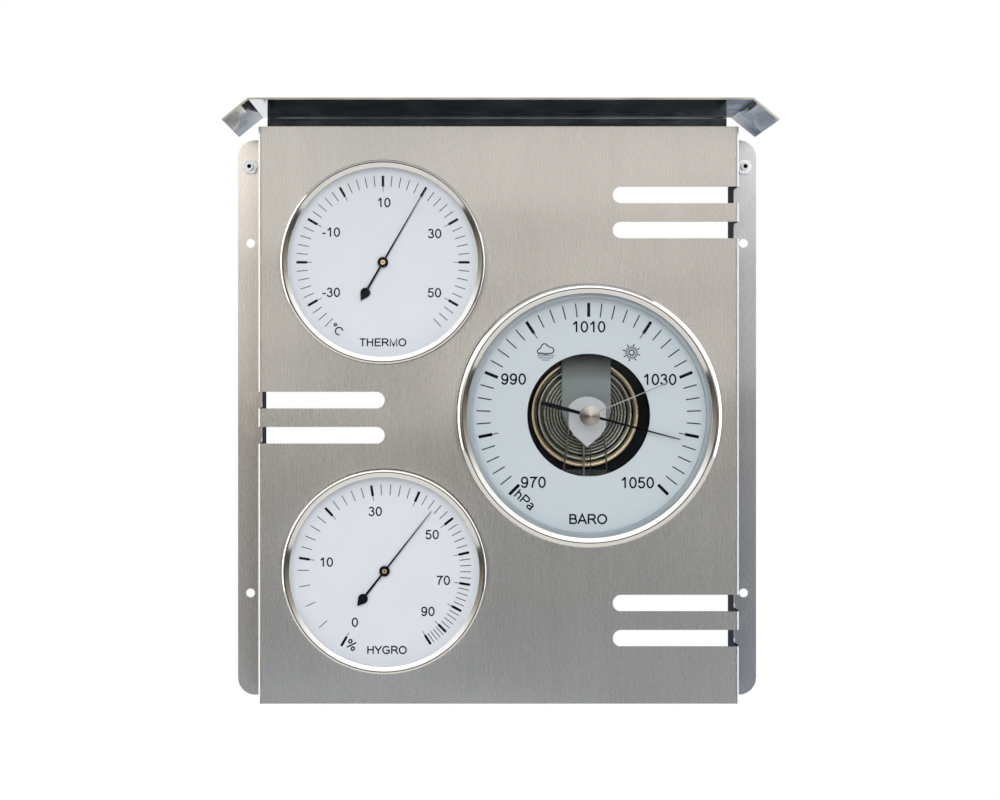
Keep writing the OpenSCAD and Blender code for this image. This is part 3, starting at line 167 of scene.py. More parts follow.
def ribbon(path: Array, width: float, low: float, thick: float) -> Shell:
    """A flat strip whose rectangular section is carried along a path on the dial.

    At each path point the section reaches half the width to both sides, along the mean of the
    two neighbouring normals, lengthened at a bend so that the strip keeps its width. A path that
    ends where it starts makes a ring.

    Args:
        path: (n, 2) array of points.
        width: Width of the strip.
        low: Height of its underside.
        thick: Thickness of the strip.

    Returns:
        A closed shell.
    """
    closed = np.allclose(path[0], path[-1])
    path = path[:-1] if closed else path
    ahead = np.roll(path, -1, 0) - path
    if not closed:
        ahead[-1] = ahead[-2]
    ahead /= np.linalg.norm(ahead, axis=1)[:, None]
    behind = np.roll(ahead, 1, 0)
    if not closed:
        behind[0] = ahead[0]
    mean = np.stack([-behind[:, 1] - ahead[:, 1], behind[:, 0] + ahead[:, 0]], 1)
    mean /= np.maximum((mean * mean).sum(1) / 2, 0.35)[:, None]
    side = mean * width / 2
    left, right = path + side, path - side
    heights = np.array([low, low, low + thick, low + thick])
    flat = np.stack([left, right, right, left], 1)
    points = np.concatenate([flat, np.broadcast_to(heights[None, :, None], (len(path), 4, 1))], 2)
    points = points.reshape(-1, 3)
    quads = grid_faces(len(path), 4, closed, True)
    if not closed:
        end = 4 * (len(path) - 1)
        quads = np.concatenate([quads, [[0, 1, 2, 3], [end + 3, end + 2, end + 1, end]]])
    return Shell(points, quads[:, ::-1], [], points[:, :2] * 0.1)


def arc(cx: float, cy: float, rx: float, ry: float, start: float = 0, end: float = 360,
        n: int = 18) -> Array:
    """Points (cx + rx cos a, cy + ry sin a) for the angle a from start to end, in degrees."""
    a = np.radians(np.linspace(start, end, n))
    return np.stack([cx + rx * np.cos(a), cy + ry * np.sin(a)], 1)


def smooth_path(points: list[tuple[float, float]], n: int = 8) -> Array:
    """A soft curve through points: each piece is the Catmull-Rom cubic of its neighbours.

    Args:
        points: The points that it passes.
        n: Number of steps from one to the next.

    Returns:
        The curve's own points as an array.
    """
    p = np.array([points[0], *points, points[-1]], float)
    t = np.linspace(0, 1, n, endpoint=False)[None, :, None]
    a, b, c, d = (p[i:len(p) - 3 + i, None, :] for i in range(4))
    curve = 0.5 * (2 * b + (c - a) * t + (2 * a - 5 * b + 4 * c - d) * t**2
                   + (3 * b - a - 3 * c + d) * t**3)
    return np.concatenate([curve.reshape(-1, 2), p[-1:]])


def through(*parts: object) -> Array:
    """A path through points and rows of points, in turn."""
    return np.concatenate([np.atleast_2d(np.array(p, float)) for p in parts])


class Nodes:
    """A node tree, with short calls that add nodes and join them."""

    def __init__(self, tree: bpy.types.NodeTree) -> None:
        """Takes the tree."""
        self.nodes, self.links = tree.nodes, tree.links

    def put(self, value: object, socket: Socket) -> None:
        """Links an output to an input, or writes a plain number or colour into the input.

        Args:
            value: An output, a number or a colour.
            socket: The input.
        """
        if isinstance(value, Socket):
            self.links.new(value, socket)
        else:
            socket.default_value = (*value, 1) if socket.type == "RGBA" else value

    def add(self, kind: str, **settings: object) -> bpy.types.Node:
        """Adds a node.

        Args:
            kind: Its type, after the word ShaderNode.
            **settings: Its properties, or what goes into its inputs where the name is one.

        Returns:
            The new node.
        """
        node = self.nodes.new("ShaderNode" + kind)
        for key, value in settings.items():
            if hasattr(node, key):
                setattr(node, key, value)
            else:
                self.put(value, node.inputs[key.replace("_", " ")])
        return node

    def sum(self, operation: str, *values: object, kind: str = "Math", result: object = 0) -> Socket:
        """One step of arithmetic.

        Args:
            operation: The node's operation.
            *values: Outputs, numbers or vectors, in the order of the node's inputs.
            kind: The node's type.
            result: Which output is read.

        Returns:
            The result.
        """
        node = self.add(kind, operation=operation)
        for value, socket in zip(values, node.inputs):
            self.put(value, socket)
        return node.outputs[result]

    def ranged(self, value: Socket, low: float, high: float, start: float = 0.3, end: float = 0.7,
               **settings: object) -> Socket:
        """Maps the span from start to end, by default a noise's middle, to that from low to high."""
        return self.add("MapRange", Value=value, From_Min=start, From_Max=end, To_Min=low,
                        To_Max=high, **settings).outputs["Result"]

    def ramp(self, value: Socket, stops: Stops) -> Socket:
        """Colours by a value.

        Args:
            value: From 0 to 1.
            stops: Rising places with their colours.

        Returns:
            The colour.
        """
        node = self.add("ValToRGB", Fac=value)
        elements = node.color_ramp.elements
        while len(elements) < len(stops):
            elements.new(1.0)
        for element, (place, colour) in zip(elements, stops):
            element.position, element.color = place, (*colour, 1)
        return node.outputs["Color"]

    def mix(self, factor: object, a: object, b: object, kind: str = "MIX") -> Socket:
        """Mixes two colours.

        Args:
            factor: How much of the second colour, as an output or a number.
            a: First colour, as an output or plain.
            b: Second colour, as an output or plain.
            kind: The way of mixing.

        Returns:
            The mixed colour.
        """
        node = self.add("Mix", data_type="RGBA", blend_type=kind)
        for value, place in ((factor, 0), (a, 6), (b, 7)):
            self.put(value, node.inputs[place])
        return node.outputs[2]

    def times(self, a: Socket, b: object) -> Socket:
        """One colour multiplied by another."""
        return self.mix(1.0, a, b, "MULTIPLY")

    def split(self, vector: Socket) -> list[Socket]:
        """The three parts of a vector."""
        return list(self.add("SeparateXYZ", Vector=vector).outputs)


class Sheet(Nodes):
    """A material's nodes round its Principled shader."""

    def __init__(self, material: bpy.types.Material) -> None:
        """Finds the shader.

        Args:
            material: One that holds a single Principled shader.
        """
        super().__init__(material.node_tree)
        self.material = material
        self.shader = next(n for n in self.nodes if n.type == "BSDF_PRINCIPLED")
        self.coords = self.add("TexCoord")

    @classmethod
    def start(cls, name: str) -> "Sheet":
        """A sheet on a new, plain material.

        Args:
            name: The material's name.

        Returns:
            The sheet.
        """
        material = bpy.data.materials.new(name)
        material.use_nodes = True
        return cls(material)

    def give(self, **values: object) -> None:
        """Puts outputs or plain values on the shader's own inputs."""
        for key, value in values.items():
            self.put(value, self.shader.inputs[key.replace("_", " ")])

    def parts(self, source: str = "Object") -> list[Socket]:
        """The three parts of the place on the object, or of its UV."""
        return self.split(self.coords.outputs[source])

    def vector(self, operation: str, a: Socket, b: Place, result: str = "Vector") -> Socket:
        """One step of arithmetic on a vector and a plain one."""
        return self.sum(operation, a, b, kind="VectorMath", result=result)

    def noise(self, scale: object, detail: float, source: str = "Object",
              roughness: float = 0.6) -> Socket:
        """Noise, whose grain may be stretched.

        Args:
            scale: One scale, or one along each axis.
            detail: How many finer layers it has.
            source: The coordinates that it follows.
            roughness: How strong the finer layers are.

        Returns:
            The pattern, from 0 to 1.
        """
        scales = scale if isinstance(scale, tuple) else (scale,) * 3
        place = self.add("Mapping", Vector=self.coords.outputs[source], Scale=scales).outputs[0]
        return self.add("TexNoise", Vector=place, Scale=1.0, Detail=detail,
                        Roughness=roughness).outputs["Fac"]

    def blend(self, pattern: Socket, a: Colour, b: Colour) -> Socket:
        """A colour that runs from a to b over the middle of a pattern."""
        return self.ramp(pattern, [(0.3, a), (0.7, b)])

    def bump(self, pattern: Socket, strength: float, depth: float) -> None:
        """Turns a pattern into fine relief of a depth in metres, seen with a strength."""
        bump = self.add("Bump", Strength=strength, Distance=depth, Height=pattern)
        self.give(Normal=bump.outputs["Normal"])

    def grain(self, pattern: Socket, low: float, high: float, strength: float, depth: float) -> None:
        """Lets a pattern vary the roughness from low to high, and gives it fine relief."""
        self.give(Roughness=self.ranged(pattern, low, high))
        self.bump(pattern, strength, depth)


@dataclass(frozen=True)
class Finish:
    """A finish: its name, its colour and how rough it is."""

    name: str
    colour: Colour
    rough: float

    def sheet(self, **values: object) -> Sheet:
        """A node sheet with this finish's plain values.

        Args:
            **values: Further values for the shader.

        Returns:
            The sheet.
        """
        sheet = Sheet.start(self.name)
        sheet.give(Base_Color=self.colour, Roughness=self.rough, **values)
        return sheet

    def shade(self, factor: float) -> Colour:
        """The finish's colour multiplied by a factor, no brighter than white."""
        return tuple(min(1.0, c * factor) for c in self.colour)

    def material(self) -> bpy.types.Material:
        """The finished material."""
        raise NotImplementedError


@dataclass(frozen=True)
class BrushedSteel(Finish):
    """Sheet steel brushed along Z: short upright hairlines that spread its gloss sideways."""

    # dark navy painted shade on the housing's inner side walls, seen through the slots
    wall_shade: Colour = (0.022, 0.032, 0.048)
    behind: Colour = (0.52, 0.60, 0.62)
    warm: Colour = (1.0, 0.97, 0.955)
    bluish: Colour = (0.76, 0.81, 0.90)
    wall_x: float = 0.1203
    back_y: float = -0.0338
    hair_mm: float = 0.0003
    warp_mm: float = 0.5
    swell_mm: float = 0.12
    swell_reach: float = 0.010

    def material(self) -> bpy.types.Material:
        """Hairlines and faint wipe marks outside, painted reflection and light on the flanges, dull metal
        within, painted shade on the side walls.

        Returns:
            The material.
        """
        s = self.sheet(Metallic=1.0, Anisotropic=0.95)
        normal = s.add("NewGeometry").outputs["Normal"]
        hair = s.noise((2900, 2900, 70), 3, roughness=0.65)
        lines = s.blend(hair, self.shade(0.965), self.shade(1.025))
        wipes = s.blend(s.noise((90, 90, 14), 4), (0.95, 0.95, 0.95), WHITE)
        brushed = s.times(s.times(lines, wipes), self.flange_painted_light(s))
        within, dull = self.within(s)
        gloss = s.ranged(hair, self.rough * 0.94, self.rough * 1.07)
        s.give(Tangent=s.vector("CROSS_PRODUCT", normal, (0.0, 0.0, 1.0)),
               Base_Color=s.mix(within, brushed, dull), Roughness=s.sum("MAXIMUM", gloss, within))
        s.bump(self.relief(s, hair), 1.0, MM)
        return s.material

    def relief(self, s: Sheet, hair: Socket) -> Socket:
        """Hairlines, a slow warp, and a slight swell round each dial's hole.

        The swell falls off as the exponential of the distance past the hole's rim.

        Args:
            s: This finish's sheet.
            hair: The hairline pattern.

        Returns:
            The height in millimetres.
        """
        height = s.sum("MULTIPLY_ADD", hair, self.hair_mm, 0.0)
        height = s.sum("MULTIPLY_ADD", s.noise((9, 9, 16), 1), self.warp_mm, height)
        for key, rim in (("thermo", SMALL_RIM), ("hygro", SMALL_RIM), ("baro", LARGE_RIM)):
            dial = Dial.of(f"{key}_dial")
            middle = (dial.x * MM, dial.face_y * MM, dial.z * MM)
            away = s.vector("DISTANCE", s.coords.outputs["Object"], middle, "Value")
            past = s.sum("MULTIPLY_ADD", away, -1 / self.swell_reach, rim * MM / self.swell_reach)
            height = s.sum("MULTIPLY_ADD", s.sum("EXPONENT", past), self.swell_mm, height)
        return height

    def flange_painted_light(self, s: Sheet) -> Socket:
        """Painted reflection on the wall flanges: warm on the left, bluish on the right.

        Args:
            s: This finish's sheet.

        Returns:
            The tint, with painted light that brightens it towards the top, and white off the flanges.
        """
        x, y, z = s.parts()
        # painted reflection: warm on the left flange, bluish on the right
        tint = s.blend(s.ranged(x, 0.0, 1.0, -0.1, 0.1), self.warm, self.bluish)
        high = s.ranged(z, 0.0, 1.0, 0.02, 0.145)
        # painted light: the flange tint grows brighter towards the top
        tint = s.mix(high, tint, s.times(tint, (1.6, 1.6, 1.6)))
        return s.mix(s.ranged(y, 0.0, 1.0, -0.006, -0.002), WHITE, tint)

    def within(self, s: Sheet) -> tuple[Socket, Socket]:
        """Finds the housing's inner faces by their distance from the middle and from the panel.

        Args:
            s: This finish's sheet.

        Returns:
            One on the inner faces, and their colour: grey behind the panel, dark painted shade on the walls.
        """
        x, y, _ = s.parts()
        side = s.sum("ABSOLUTE", x)
        inner = s.ranged(side, 1.0, 0.0, self.wall_x + 0.0004, self.wall_x + 0.0006)
        deep = s.ranged(y, 0.0, 1.0, self.back_y - 0.0003, self.back_y)
        wall = s.ranged(side, 0.0, 1.0, self.wall_x - 0.0008, self.wall_x - 0.0003)
        # painted shade: the inner side walls are coloured dark
        return s.sum("MULTIPLY", inner, deep), s.mix(wall, self.behind, self.wall_shade)


@dataclass(frozen=True)
class PolishedSteel(Finish):
    """Polished metal with faint wipe marks and a slight waviness."""

    marks: float = 180.0
    wave: float = 0.025
    front_edge: float = 0.0
    cut: Colour = (0.72, 0.72, 0.64)

    def material(self) -> bpy.types.Material:
        """Cloudy noise varies the gloss, a slow wave bends the reflections, a cut edge is dull.

        Returns:
            The material.
        """
        s = self.sheet(Metallic=1.0)
        wipe = s.noise((self.marks, self.marks, self.marks * 3), 5)
        colour = s.blend(wipe, self.shade(0.95), self.colour)
        if self.front_edge:
            edge = s.ranged(s.parts()[1], 1.0, 0.0, -self.front_edge, 0.0002 - self.front_edge)
            colour = s.mix(edge, colour, self.cut)
        s.give(Base_Color=colour, Roughness=s.ranged(wipe, self.rough * 0.6, self.rough * 1.7))
        s.bump(s.noise(14.0, 1), self.wave, 0.0006)
        return s.material


@dataclass(frozen=True)
class TurnedMetal(Finish):
    """Lathe-turned metal: rings follow the piece's own round direction, along its v."""

    pitch: float = 9.0
    groove: float = 0.03
    stretch: float = 0.0
    dark_sheen_sector: float = 1.0

    def material(self) -> bpy.types.Material:
        """Noise that is long round the axis and fine along the profile, as a tool leaves it.

        Returns:
            The material.
        """
        s = self.sheet(Metallic=1.0)
        if self.stretch:
            tangent = s.add("Tangent", direction_type="UV_MAP", uv_map="UVMap")
            s.give(Anisotropic=self.stretch, Anisotropic_Rotation=0.25, Tangent=tangent.outputs[0])
        rings = s.noise((1.5, self.pitch, 1), 3, "UV")
        colour = s.blend(rings, self.shade(0.9), self.shade(1.05))
        # painted sheen: lighter and darker wedges of reflected light, painted into the colour
        if self.dark_sheen_sector < 1:
            colour = s.times(colour, self.painted_sheen(s))
        s.give(Base_Color=colour)
        s.grain(rings, self.rough * 0.7, self.rough * 1.4, self.groove, 0.00001)
        return s.material

    def painted_sheen(self, s: Sheet) -> Socket:
        """Painted sheen: lighter and darker wedges that light gives a spun face, as cos(t - 30) - cos(2 t) /
        2 at the angle t.

        Args:
            s: This finish's sheet.

        Returns:
            The tone, from the dark sector's to white.
        """
        u = s.parts("UV")[0]
        once = s.sum("COSINE", s.sum("MULTIPLY_ADD", u, TURN, -TURN / 12))
        twice = s.sum("COSINE", s.sum("MULTIPLY_ADD", u, 2 * TURN, 0.0))
        both = s.sum("MULTIPLY_ADD", twice, -0.5, once)
        return s.mix(s.ranged(both, 0.0, 1.0, -1.2, 1.0), (self.dark_sheen_sector,) * 3, WHITE)


@dataclass(frozen=True)
class Waves:
    """Ring waves in a skin, with whole turns between two radii, in millimetres."""

    start: float
    end: float
    turns: int
    depth: float

    def height(self, r: Array) -> Array:
        """Minus the depth times (1 - cos) / 2 of the turns passed at each radius."""
        passed = self.turns * (r - self.start) / (self.end - self.start)
        return -self.depth * (1 - np.cos(TURN * passed)) / 2

    def tone(self, s: Sheet, radius: Socket, trough_shade: Colour) -> Socket:
        """A painted shade that follows the height.

        Args:
            s: The sheet.
            radius: Distance from the axis in metres.
            trough_shade: Painted shade in the troughs.

        Returns:
            White on the crests, and the painted shade of the troughs between.
        """
        turn = s.ranged(radius, 0.0, TURN * self.turns, self.start * MM, self.end * MM, clamp=False)
        return s.mix(s.ranged(s.sum("COSINE", turn), 0.0, 1.0, -0.9, 0.1), trough_shade, WHITE)


FINE_WAVES = Waves(5.0, 20.85, 10, 0.23)
COARSE_WAVES = Waves(20.85, 26.85, 2, 0.42)


@dataclass(frozen=True)
class Corrugated(TurnedMetal):
    """The capsule's lacquered skin with a golden rim, darkened by painted shade in the troughs of its rings,
    so that the crests stand bright.
    """

    trough_shade: Colour = (0.22, 0.235, 0.22)
    rim: Colour = (0.50, 0.41, 0.27)
    rim_at: float = 0.0249

    def material(self) -> bpy.types.Material:
        """The painted shade follows the same waves of the radius as the skin's height.

        Returns:
            The material.
        """
        s = Sheet(super().material())
        dial = Dial.of("baro_dial")
        flat = s.vector("MULTIPLY", s.coords.outputs["Object"], (1.0, 0.0, 1.0))
        radius = s.vector("DISTANCE", flat, (dial.x * MM, 0.0, dial.z * MM), "Value")
        meet = FINE_WAVES.end * MM
        coarse = s.ranged(radius, 0.0, 1.0, meet - 0.0001, meet + 0.0001)
        # painted shade in the ring troughs, matching the skin's waves
        waves = s.mix(coarse, FINE_WAVES.tone(s, radius, self.trough_shade),
                      COARSE_WAVES.tone(s, radius, self.trough_shade))
        golden = s.ranged(radius, 0.0, 1.0, self.rim_at, self.rim_at + 0.0007)
        s.give(Base_Color=s.times(s.mix(golden, self.colour, self.rim), waves))
        return s.material


@dataclass(frozen=True)
class Paint(Finish):
    """A painted, lacquered or enamelled surface with a faint orange peel."""

    peel: float = 900.0
    shift: float = 0.04
    gloss: float = 0.5

    def material(self) -> bpy.types.Material:
        """Fine noise for the peel, broad noise for a slight drift of the tone.

        Returns:
            The material.
        """
        s = self.sheet(Specular_IOR_Level=self.gloss)
        dim, light = self.shade(1 - self.shift), self.shade(1 + self.shift / 2)
        s.give(Base_Color=s.blend(s.noise(60.0, 3), dim, light))
        s.grain(s.noise(self.peel, 2), self.rough * 0.85, self.rough * 1.15, 0.05, 0.00002)
        return s.material


@dataclass(frozen=True)
class WindowedDial(Paint):
    """A painted dial whose underside, seen in the works behind its window, is painted near-black as painted
    shade.
    """

    paint_y: float = -0.0362
    underside: Colour = (0.012, 0.014, 0.018)

    def material(self) -> bpy.types.Material:
        """The paint ends at a depth in the dial's sheet; below it the underside gets painted shade.

        Returns:
            The material.
        """
        s = Sheet(super().material())
        painted = s.shader.inputs["Base Color"].links[0].from_socket
        under = s.ranged(s.parts()[1], 0.0, 1.0, self.paint_y, self.paint_y + 0.0002)
        # painted shade: the dial's underside inside the case is coloured near-black
        s.give(Base_Color=s.mix(under, painted, self.underside))
        return s.material


@dataclass(frozen=True)
class SpeckledMetal(Finish):
    """Plain rolled or plated metal of the movements, with blotches of tarnish."""

    tarnish: Colour = (0.3, 0.28, 0.25)
    metallic: float = 1.0
    shade_top_z: float = 0.0
    clear_z: float = 0.0

    def material(self) -> bpy.types.Material:
        """Blotches mix the tarnish in, painted shade darkens the top, a fine grain breaks up the gloss.

        Returns:
            The material.
        """
        s = self.sheet(Metallic=self.metallic)
        colour = s.blend(s.noise(240.0, 6), self.tarnish, self.colour)
        # painted shade: the colour darkens towards the top, from clear_z upwards
        if self.shade_top_z:
            top_shade = s.ranged(s.parts()[2], 0.0, 1.0, self.clear_z, self.shade_top_z)
            colour = s.mix(top_shade, colour, self.shade(0.04))
        s.give(Base_Color=colour)
        s.grain(s.noise(2600.0, 2), self.rough * 0.8, self.rough * 1.25, 0.1, 0.00001)
        return s.material


@dataclass(frozen=True)
class ClearGlass(Finish):
    """Flat cover glass, faintly smeared."""

    def material(self) -> bpy.types.Material:
        """Full transmission, with smears that only touch the roughness.

        Returns:
            The material.
        """
        s = self.sheet(Transmission_Weight=1.0, IOR=1.12)
        s.give(Roughness=s.ranged(s.noise((70, 70, 160), 4), 0.0, self.rough))
        return s.material


class Palette(Enum):
    """The station's finishes."""

    BRUSHED_SHEET = BrushedSteel("brushed_sheet_finish", (0.62, 0.61, 0.59), 0.27)
    MIRROR_SHEET = PolishedSteel("mirror_sheet_finish", (0.62, 0.66, 0.70), 0.08, 60.0,
                                 front_edge=0.0729)
    # near-white paint on the stud ends is a painted highlight for the glint of their bare metal
    STUD = Paint("stud_finish", (0.95, 0.95, 0.96), 0.3, 900.0, 0.04)
    NUT = PolishedSteel("nut_finish", (0.88, 0.93, 1.0), 0.2, 900.0, 0.0)
    BEZEL = TurnedMetal("bezel_finish", (0.80, 0.79, 0.77), 0.10, 2.0, 0.0)
    COVER_GLASS = ClearGlass("cover_glass_finish", WHITE, 0.02)
    SPACER = Paint("spacer_finish", (0.74, 0.77, 0.82), 0.4)
    BARO_SPACER = Paint("baro_spacer_finish", (0.38, 0.45, 0.50), 0.4)
    DIAL = Paint("dial_finish", (0.78, 0.82, 0.89), 0.5, 1400.0, 0.015, 0.2)
    BARO_DIAL = WindowedDial("baro_dial_finish", (0.62, 0.695, 0.75), 0.5, 1400.0, 0.015, 0.2)
    INK = Paint("ink_finish", (0.003, 0.005, 0.009), 0.5, 1400.0, 0.3, 0.05)
    GREY_INK = Paint("grey_ink_finish", (0.045, 0.05, 0.06), 0.5, 1400.0, 0.3, 0.1)
    POINTER = Paint("pointer_finish", (0.006, 0.0075, 0.012), 0.4, 1400.0, 0.3, 0.07)
    BRASS = SpeckledMetal("brass_finish", (0.68, 0.52, 0.27), 0.3, (0.5, 0.36, 0.18), 0.7)
    CASE = Paint("case_finish", (0.006, 0.012, 0.018), 0.42, 1100.0, 0.15, 0.15)
    MOVEMENT_STEEL = SpeckledMetal("movement_steel_finish", (0.27, 0.31, 0.315), 0.42,
                                   (0.23, 0.265, 0.27), 0.5)
    # the bridge's last two numbers set where its painted shade at the top is full and where it starts
    BRIDGE_STEEL = SpeckledMetal("bridge_finish", (0.215, 0.25, 0.255), 0.42,
                                 (0.195, 0.225, 0.23), 0.5, 0.0325, 0.0195)
    WIRE_STEEL = SpeckledMetal("wire_finish", (0.42, 0.39, 0.33), 0.3, (0.26, 0.23, 0.18), 0.7)
    DARK_STEEL = SpeckledMetal("dark_steel_finish", (0.07, 0.085, 0.09), 0.4, (0.03, 0.036, 0.04), 0.6)
    BRIGHT_STEEL = SpeckledMetal("bright_steel_finish", (0.53, 0.56, 0.59), 0.36,
                                 (0.50, 0.525, 0.555), 0.35)
    CAPSULE = Corrugated("capsule_finish", (0.40, 0.405, 0.355), 0.22, 2.0, 0.0)
    # black for the painted shade at the bezels' feet and in their grooves
    SHADE_LINE = Paint("shade_line_finish", (0.02, 0.02, 0.02), 0.6, 1500.0, 0.2)
    HAIR = Paint("hair_finish", (0.16, 0.08, 0.035), 0.55, 2400.0, 0.3)
    MARKER = PolishedSteel("marker_finish", (0.34, 0.36, 0.38), 0.4, 500.0, 0.0)
    # the last number is the darkest wedge of the knob's painted sheen
    KNOB = TurnedMetal("knob_finish", (0.52, 0.49, 0.45), 0.33, 14.0, 0.02, 0.7, 0.328)


@cache
def finish(kind: Palette) -> bpy.types.Material:
    """The material of a finish, made once."""
    return kind.value.material()


def dress(kind: Palette, *nodes: str) -> None:
    """Gives CAD nodes their finish.

    Args:
        kind: The finish.
        *nodes: Names of the nodes.
    """
    for node in nodes:
        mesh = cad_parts[node].data
        mesh.materials.clear()
        mesh.materials.append(finish(kind))
        log.info("dressed %s as %s", node, kind.name.lower())


@dataclass
class Dial:
    """A dial's place: the middle of its axis and the panel's face, in millimetres."""

    x: float
    z: float
    face_y: float = -35.0

    @classmethod
    def of(cls, node: str) -> "Dial":
        """Reads the place from the middle of a dial's CAD node."""
        low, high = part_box(node)
        return cls((low.x + high.x) / 2 / MM, (low.z + high.z) / 2 / MM)

    def place(self, points: Array) -> Array:
        """Row frame metres: X = dial x + x, Y = face - height, Z = dial z + y."""
        x, y, h = points.T
        return np.stack([self.x + x, self.face_y - h, self.z + y], 1) * MM


def stand(name: str, data: bpy.types.ID) -> bpy.types.Object:
    """A new object in the scene.

    Args:
        name: Its name.
        data: Its mesh, camera or light.

    Returns:
        The object.
    """
    thing = bpy.data.objects.new(name, data)
    bpy.context.scene.collection.objects.link(thing)
    return thing


def build(name: str, shell: Shell, dial: Dial, kind: Palette,
          replaces: str | None = None, body: str = "station", smooth: bool = True) -> None:
    """Makes a shell a piece: its mesh, its finish, and the body that it rides on.

    Args:
        name: Name of the piece.
        shell: Its points and faces, on the dial's axis.
        dial: The dial that it sits on.
        kind: Its finish.
        replaces: CAD node that it stands for.
        body: CAD body that it moves with.
        smooth: Whether it is shaded smooth.
    """
    mesh = bpy.data.meshes.new(name)
    mesh.from_pydata(dial.place(shell.points).tolist(), [], shell.quads.tolist() + shell.fans)
    layer = mesh.uv_layers.new(name="UVMap")
    corner = np.empty(len(mesh.loops), np.int32)
    mesh.loops.foreach_get("vertex_index", corner)
    layer.data.foreach_set("uv", shell.uv[corner].astype(np.float32).ravel())
    mesh.polygons.foreach_set("use_smooth", np.full(len(mesh.polygons), smooth))
    mesh.materials.append(finish(kind))
    mesh.validate()
    mesh.update()
    piece = stand(name, mesh)
    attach(piece, body)
    if replaces:
        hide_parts(replaces)
    log.info("built %s: %d points, %d faces", name, len(mesh.vertices), len(mesh.polygons))


class Lettering:
    """Plain sans-serif letters drawn as strokes, one unit high, with their advance widths."""

    def __init__(self) -> None:
        """Sets each character's advance and strokes; b, m and t are its bottom, middle and top bar."""
        b, m, t = 0.07, 0.53, 0.93
        self.glyphs: dict[str, tuple] = {
            "0": (0.777, arc(0.39, 0.497, 0.27, 0.445, n=40)),
            "1": (0.777, through((0.462, 0), (0.462, 1)),
                  smooth_path([(0.15, 0.70), (0.30, 0.80), (0.43, 0.97)])),
            "3": (0.777, arc(0.37, 0.735, 0.215, 0.205, 172, -86, 22),
                  arc(0.375, 0.29, 0.27, 0.24, 97, -170, 26)),
            "5": (0.777, through((0.66, t), (0.225, t), (0.145, 0.475)),
                  arc(0.375, 0.325, 0.27, 0.275, 142, -165, 28)),
            "7": (0.777, through((0.07, t), smooth_path([(0.655, t), (0.45, 0.66), (0.33, 0.33),
                                                         (0.28, 0.0)]))),
            "9": (0.777, arc(0.375, 0.665, 0.255, 0.275, n=32),
                  arc(0.36, 0.50, 0.275, 0.445, 14, -96, 18), arc(0.35, 0.275, 0.235, 0.22, -88, -172, 10)),
            "-": (0.465, through((0.05, 0.365), (0.42, 0.365))),
            "T": (0.853, through((0.03, t), (0.82, t)), through((0.426, t), (0.426, 0))),
            "H": (1.008, through((0.17, 0), (0.17, 1)), through((0.84, 0), (0.84, 1)),
                  through((0.17, m), (0.84, m))),
            "E": (0.93, through((0.86, t), (0.18, t), (0.18, b), (0.88, b)), through((0.18, m), (0.82, m))),
            "R": (1.008, through((0.17, 0), (0.17, t), (0.58, t)), arc(0.58, 0.715, 0.25, 0.222, 90, -90, 14),
                  through((0.58, 0.493), (0.17, 0.493)),
                  smooth_path([(0.50, 0.49), (0.68, 0.36), (0.93, 0.0)])),
            "M": (1.163, through((0.16, 0), (0.16, 0.97), (0.58, 0.06), (1.0, 0.97), (1.0, 0))),
            "O": (1.086, arc(0.545, 0.497, 0.425, 0.445, n=44)),
            "Y": (0.93, through((0.04, 1.0), (0.465, 0.42), (0.465, 0)), through((0.89, 1.0), (0.465, 0.42))),
            "G": (1.086, arc(0.56, 0.497, 0.43, 0.445, 42, 318, 34),
                  through((0.88, 0.20), (0.92, 0.20), (0.92, 0.46), (0.56, 0.46))),
            "B": (0.93, through((0.52, t), (0.17, t), (0.17, b), (0.55, b)),
                  arc(0.52, 0.735, 0.225, 0.202, 90, -90, 14), arc(0.55, 0.297, 0.265, 0.235, 90, -90, 14),
                  through((0.17, m), (0.55, m))),
            "A": (0.93, through((0.04, 0), (0.465, 0.97), (0.89, 0)), through((0.18, 0.33), (0.75, 0.33))),
            "P": (0.93, through((0.17, 0), (0.17, t), (0.56, t)), arc(0.56, 0.69, 0.27, 0.247, 90, -90, 14),
                  through((0.56, 0.443), (0.17, 0.443))),
            "C": (1.008, arc(0.54, 0.497, 0.42, 0.445, 40, 320, 34)),
            "h": (0.777, through((0.15, 0), (0.15, 1)),
                  through(arc(0.385, 0.46, 0.235, 0.235, 165, 0, 16), (0.62, 0))),
            "a": (0.777, through(arc(0.37, 0.52, 0.22, 0.17, 160, 0, 12), (0.59, 0.10), (0.66, 0.0)),
                  through((0.59, 0.43), arc(0.33, 0.215, 0.215, 0.155, 90, 290, 18), (0.59, 0.20))),
            "%": (1.242, arc(0.28, 0.745, 0.16, 0.195, n=20), arc(0.96, 0.245, 0.16, 0.195, n=20),
                  through((0.90, 1.0), (0.34, 0.0))),
            "°": (0.56, arc(0.28, 0.80, 0.14, 0.14, n=20)),
        }

    def word(self, text: str, height: float, weight: float) -> list[Line]:
        """The strokes of a word, centred on the origin.

        Args:
            text: What is written.
            height: Height of its capitals.
            weight: Width of its strokes for one unit of height.

        Returns:
            Each stroke's path and width.
        """
        x, lines = -sum(self.glyphs[c][0] for c in text) / 2, []
        for c in text:
            advance, *strokes = self.glyphs[c]
            lines += [((path + np.array([x, -0.5])) * height, weight * height) for path in strokes]
            x += advance
        return lines


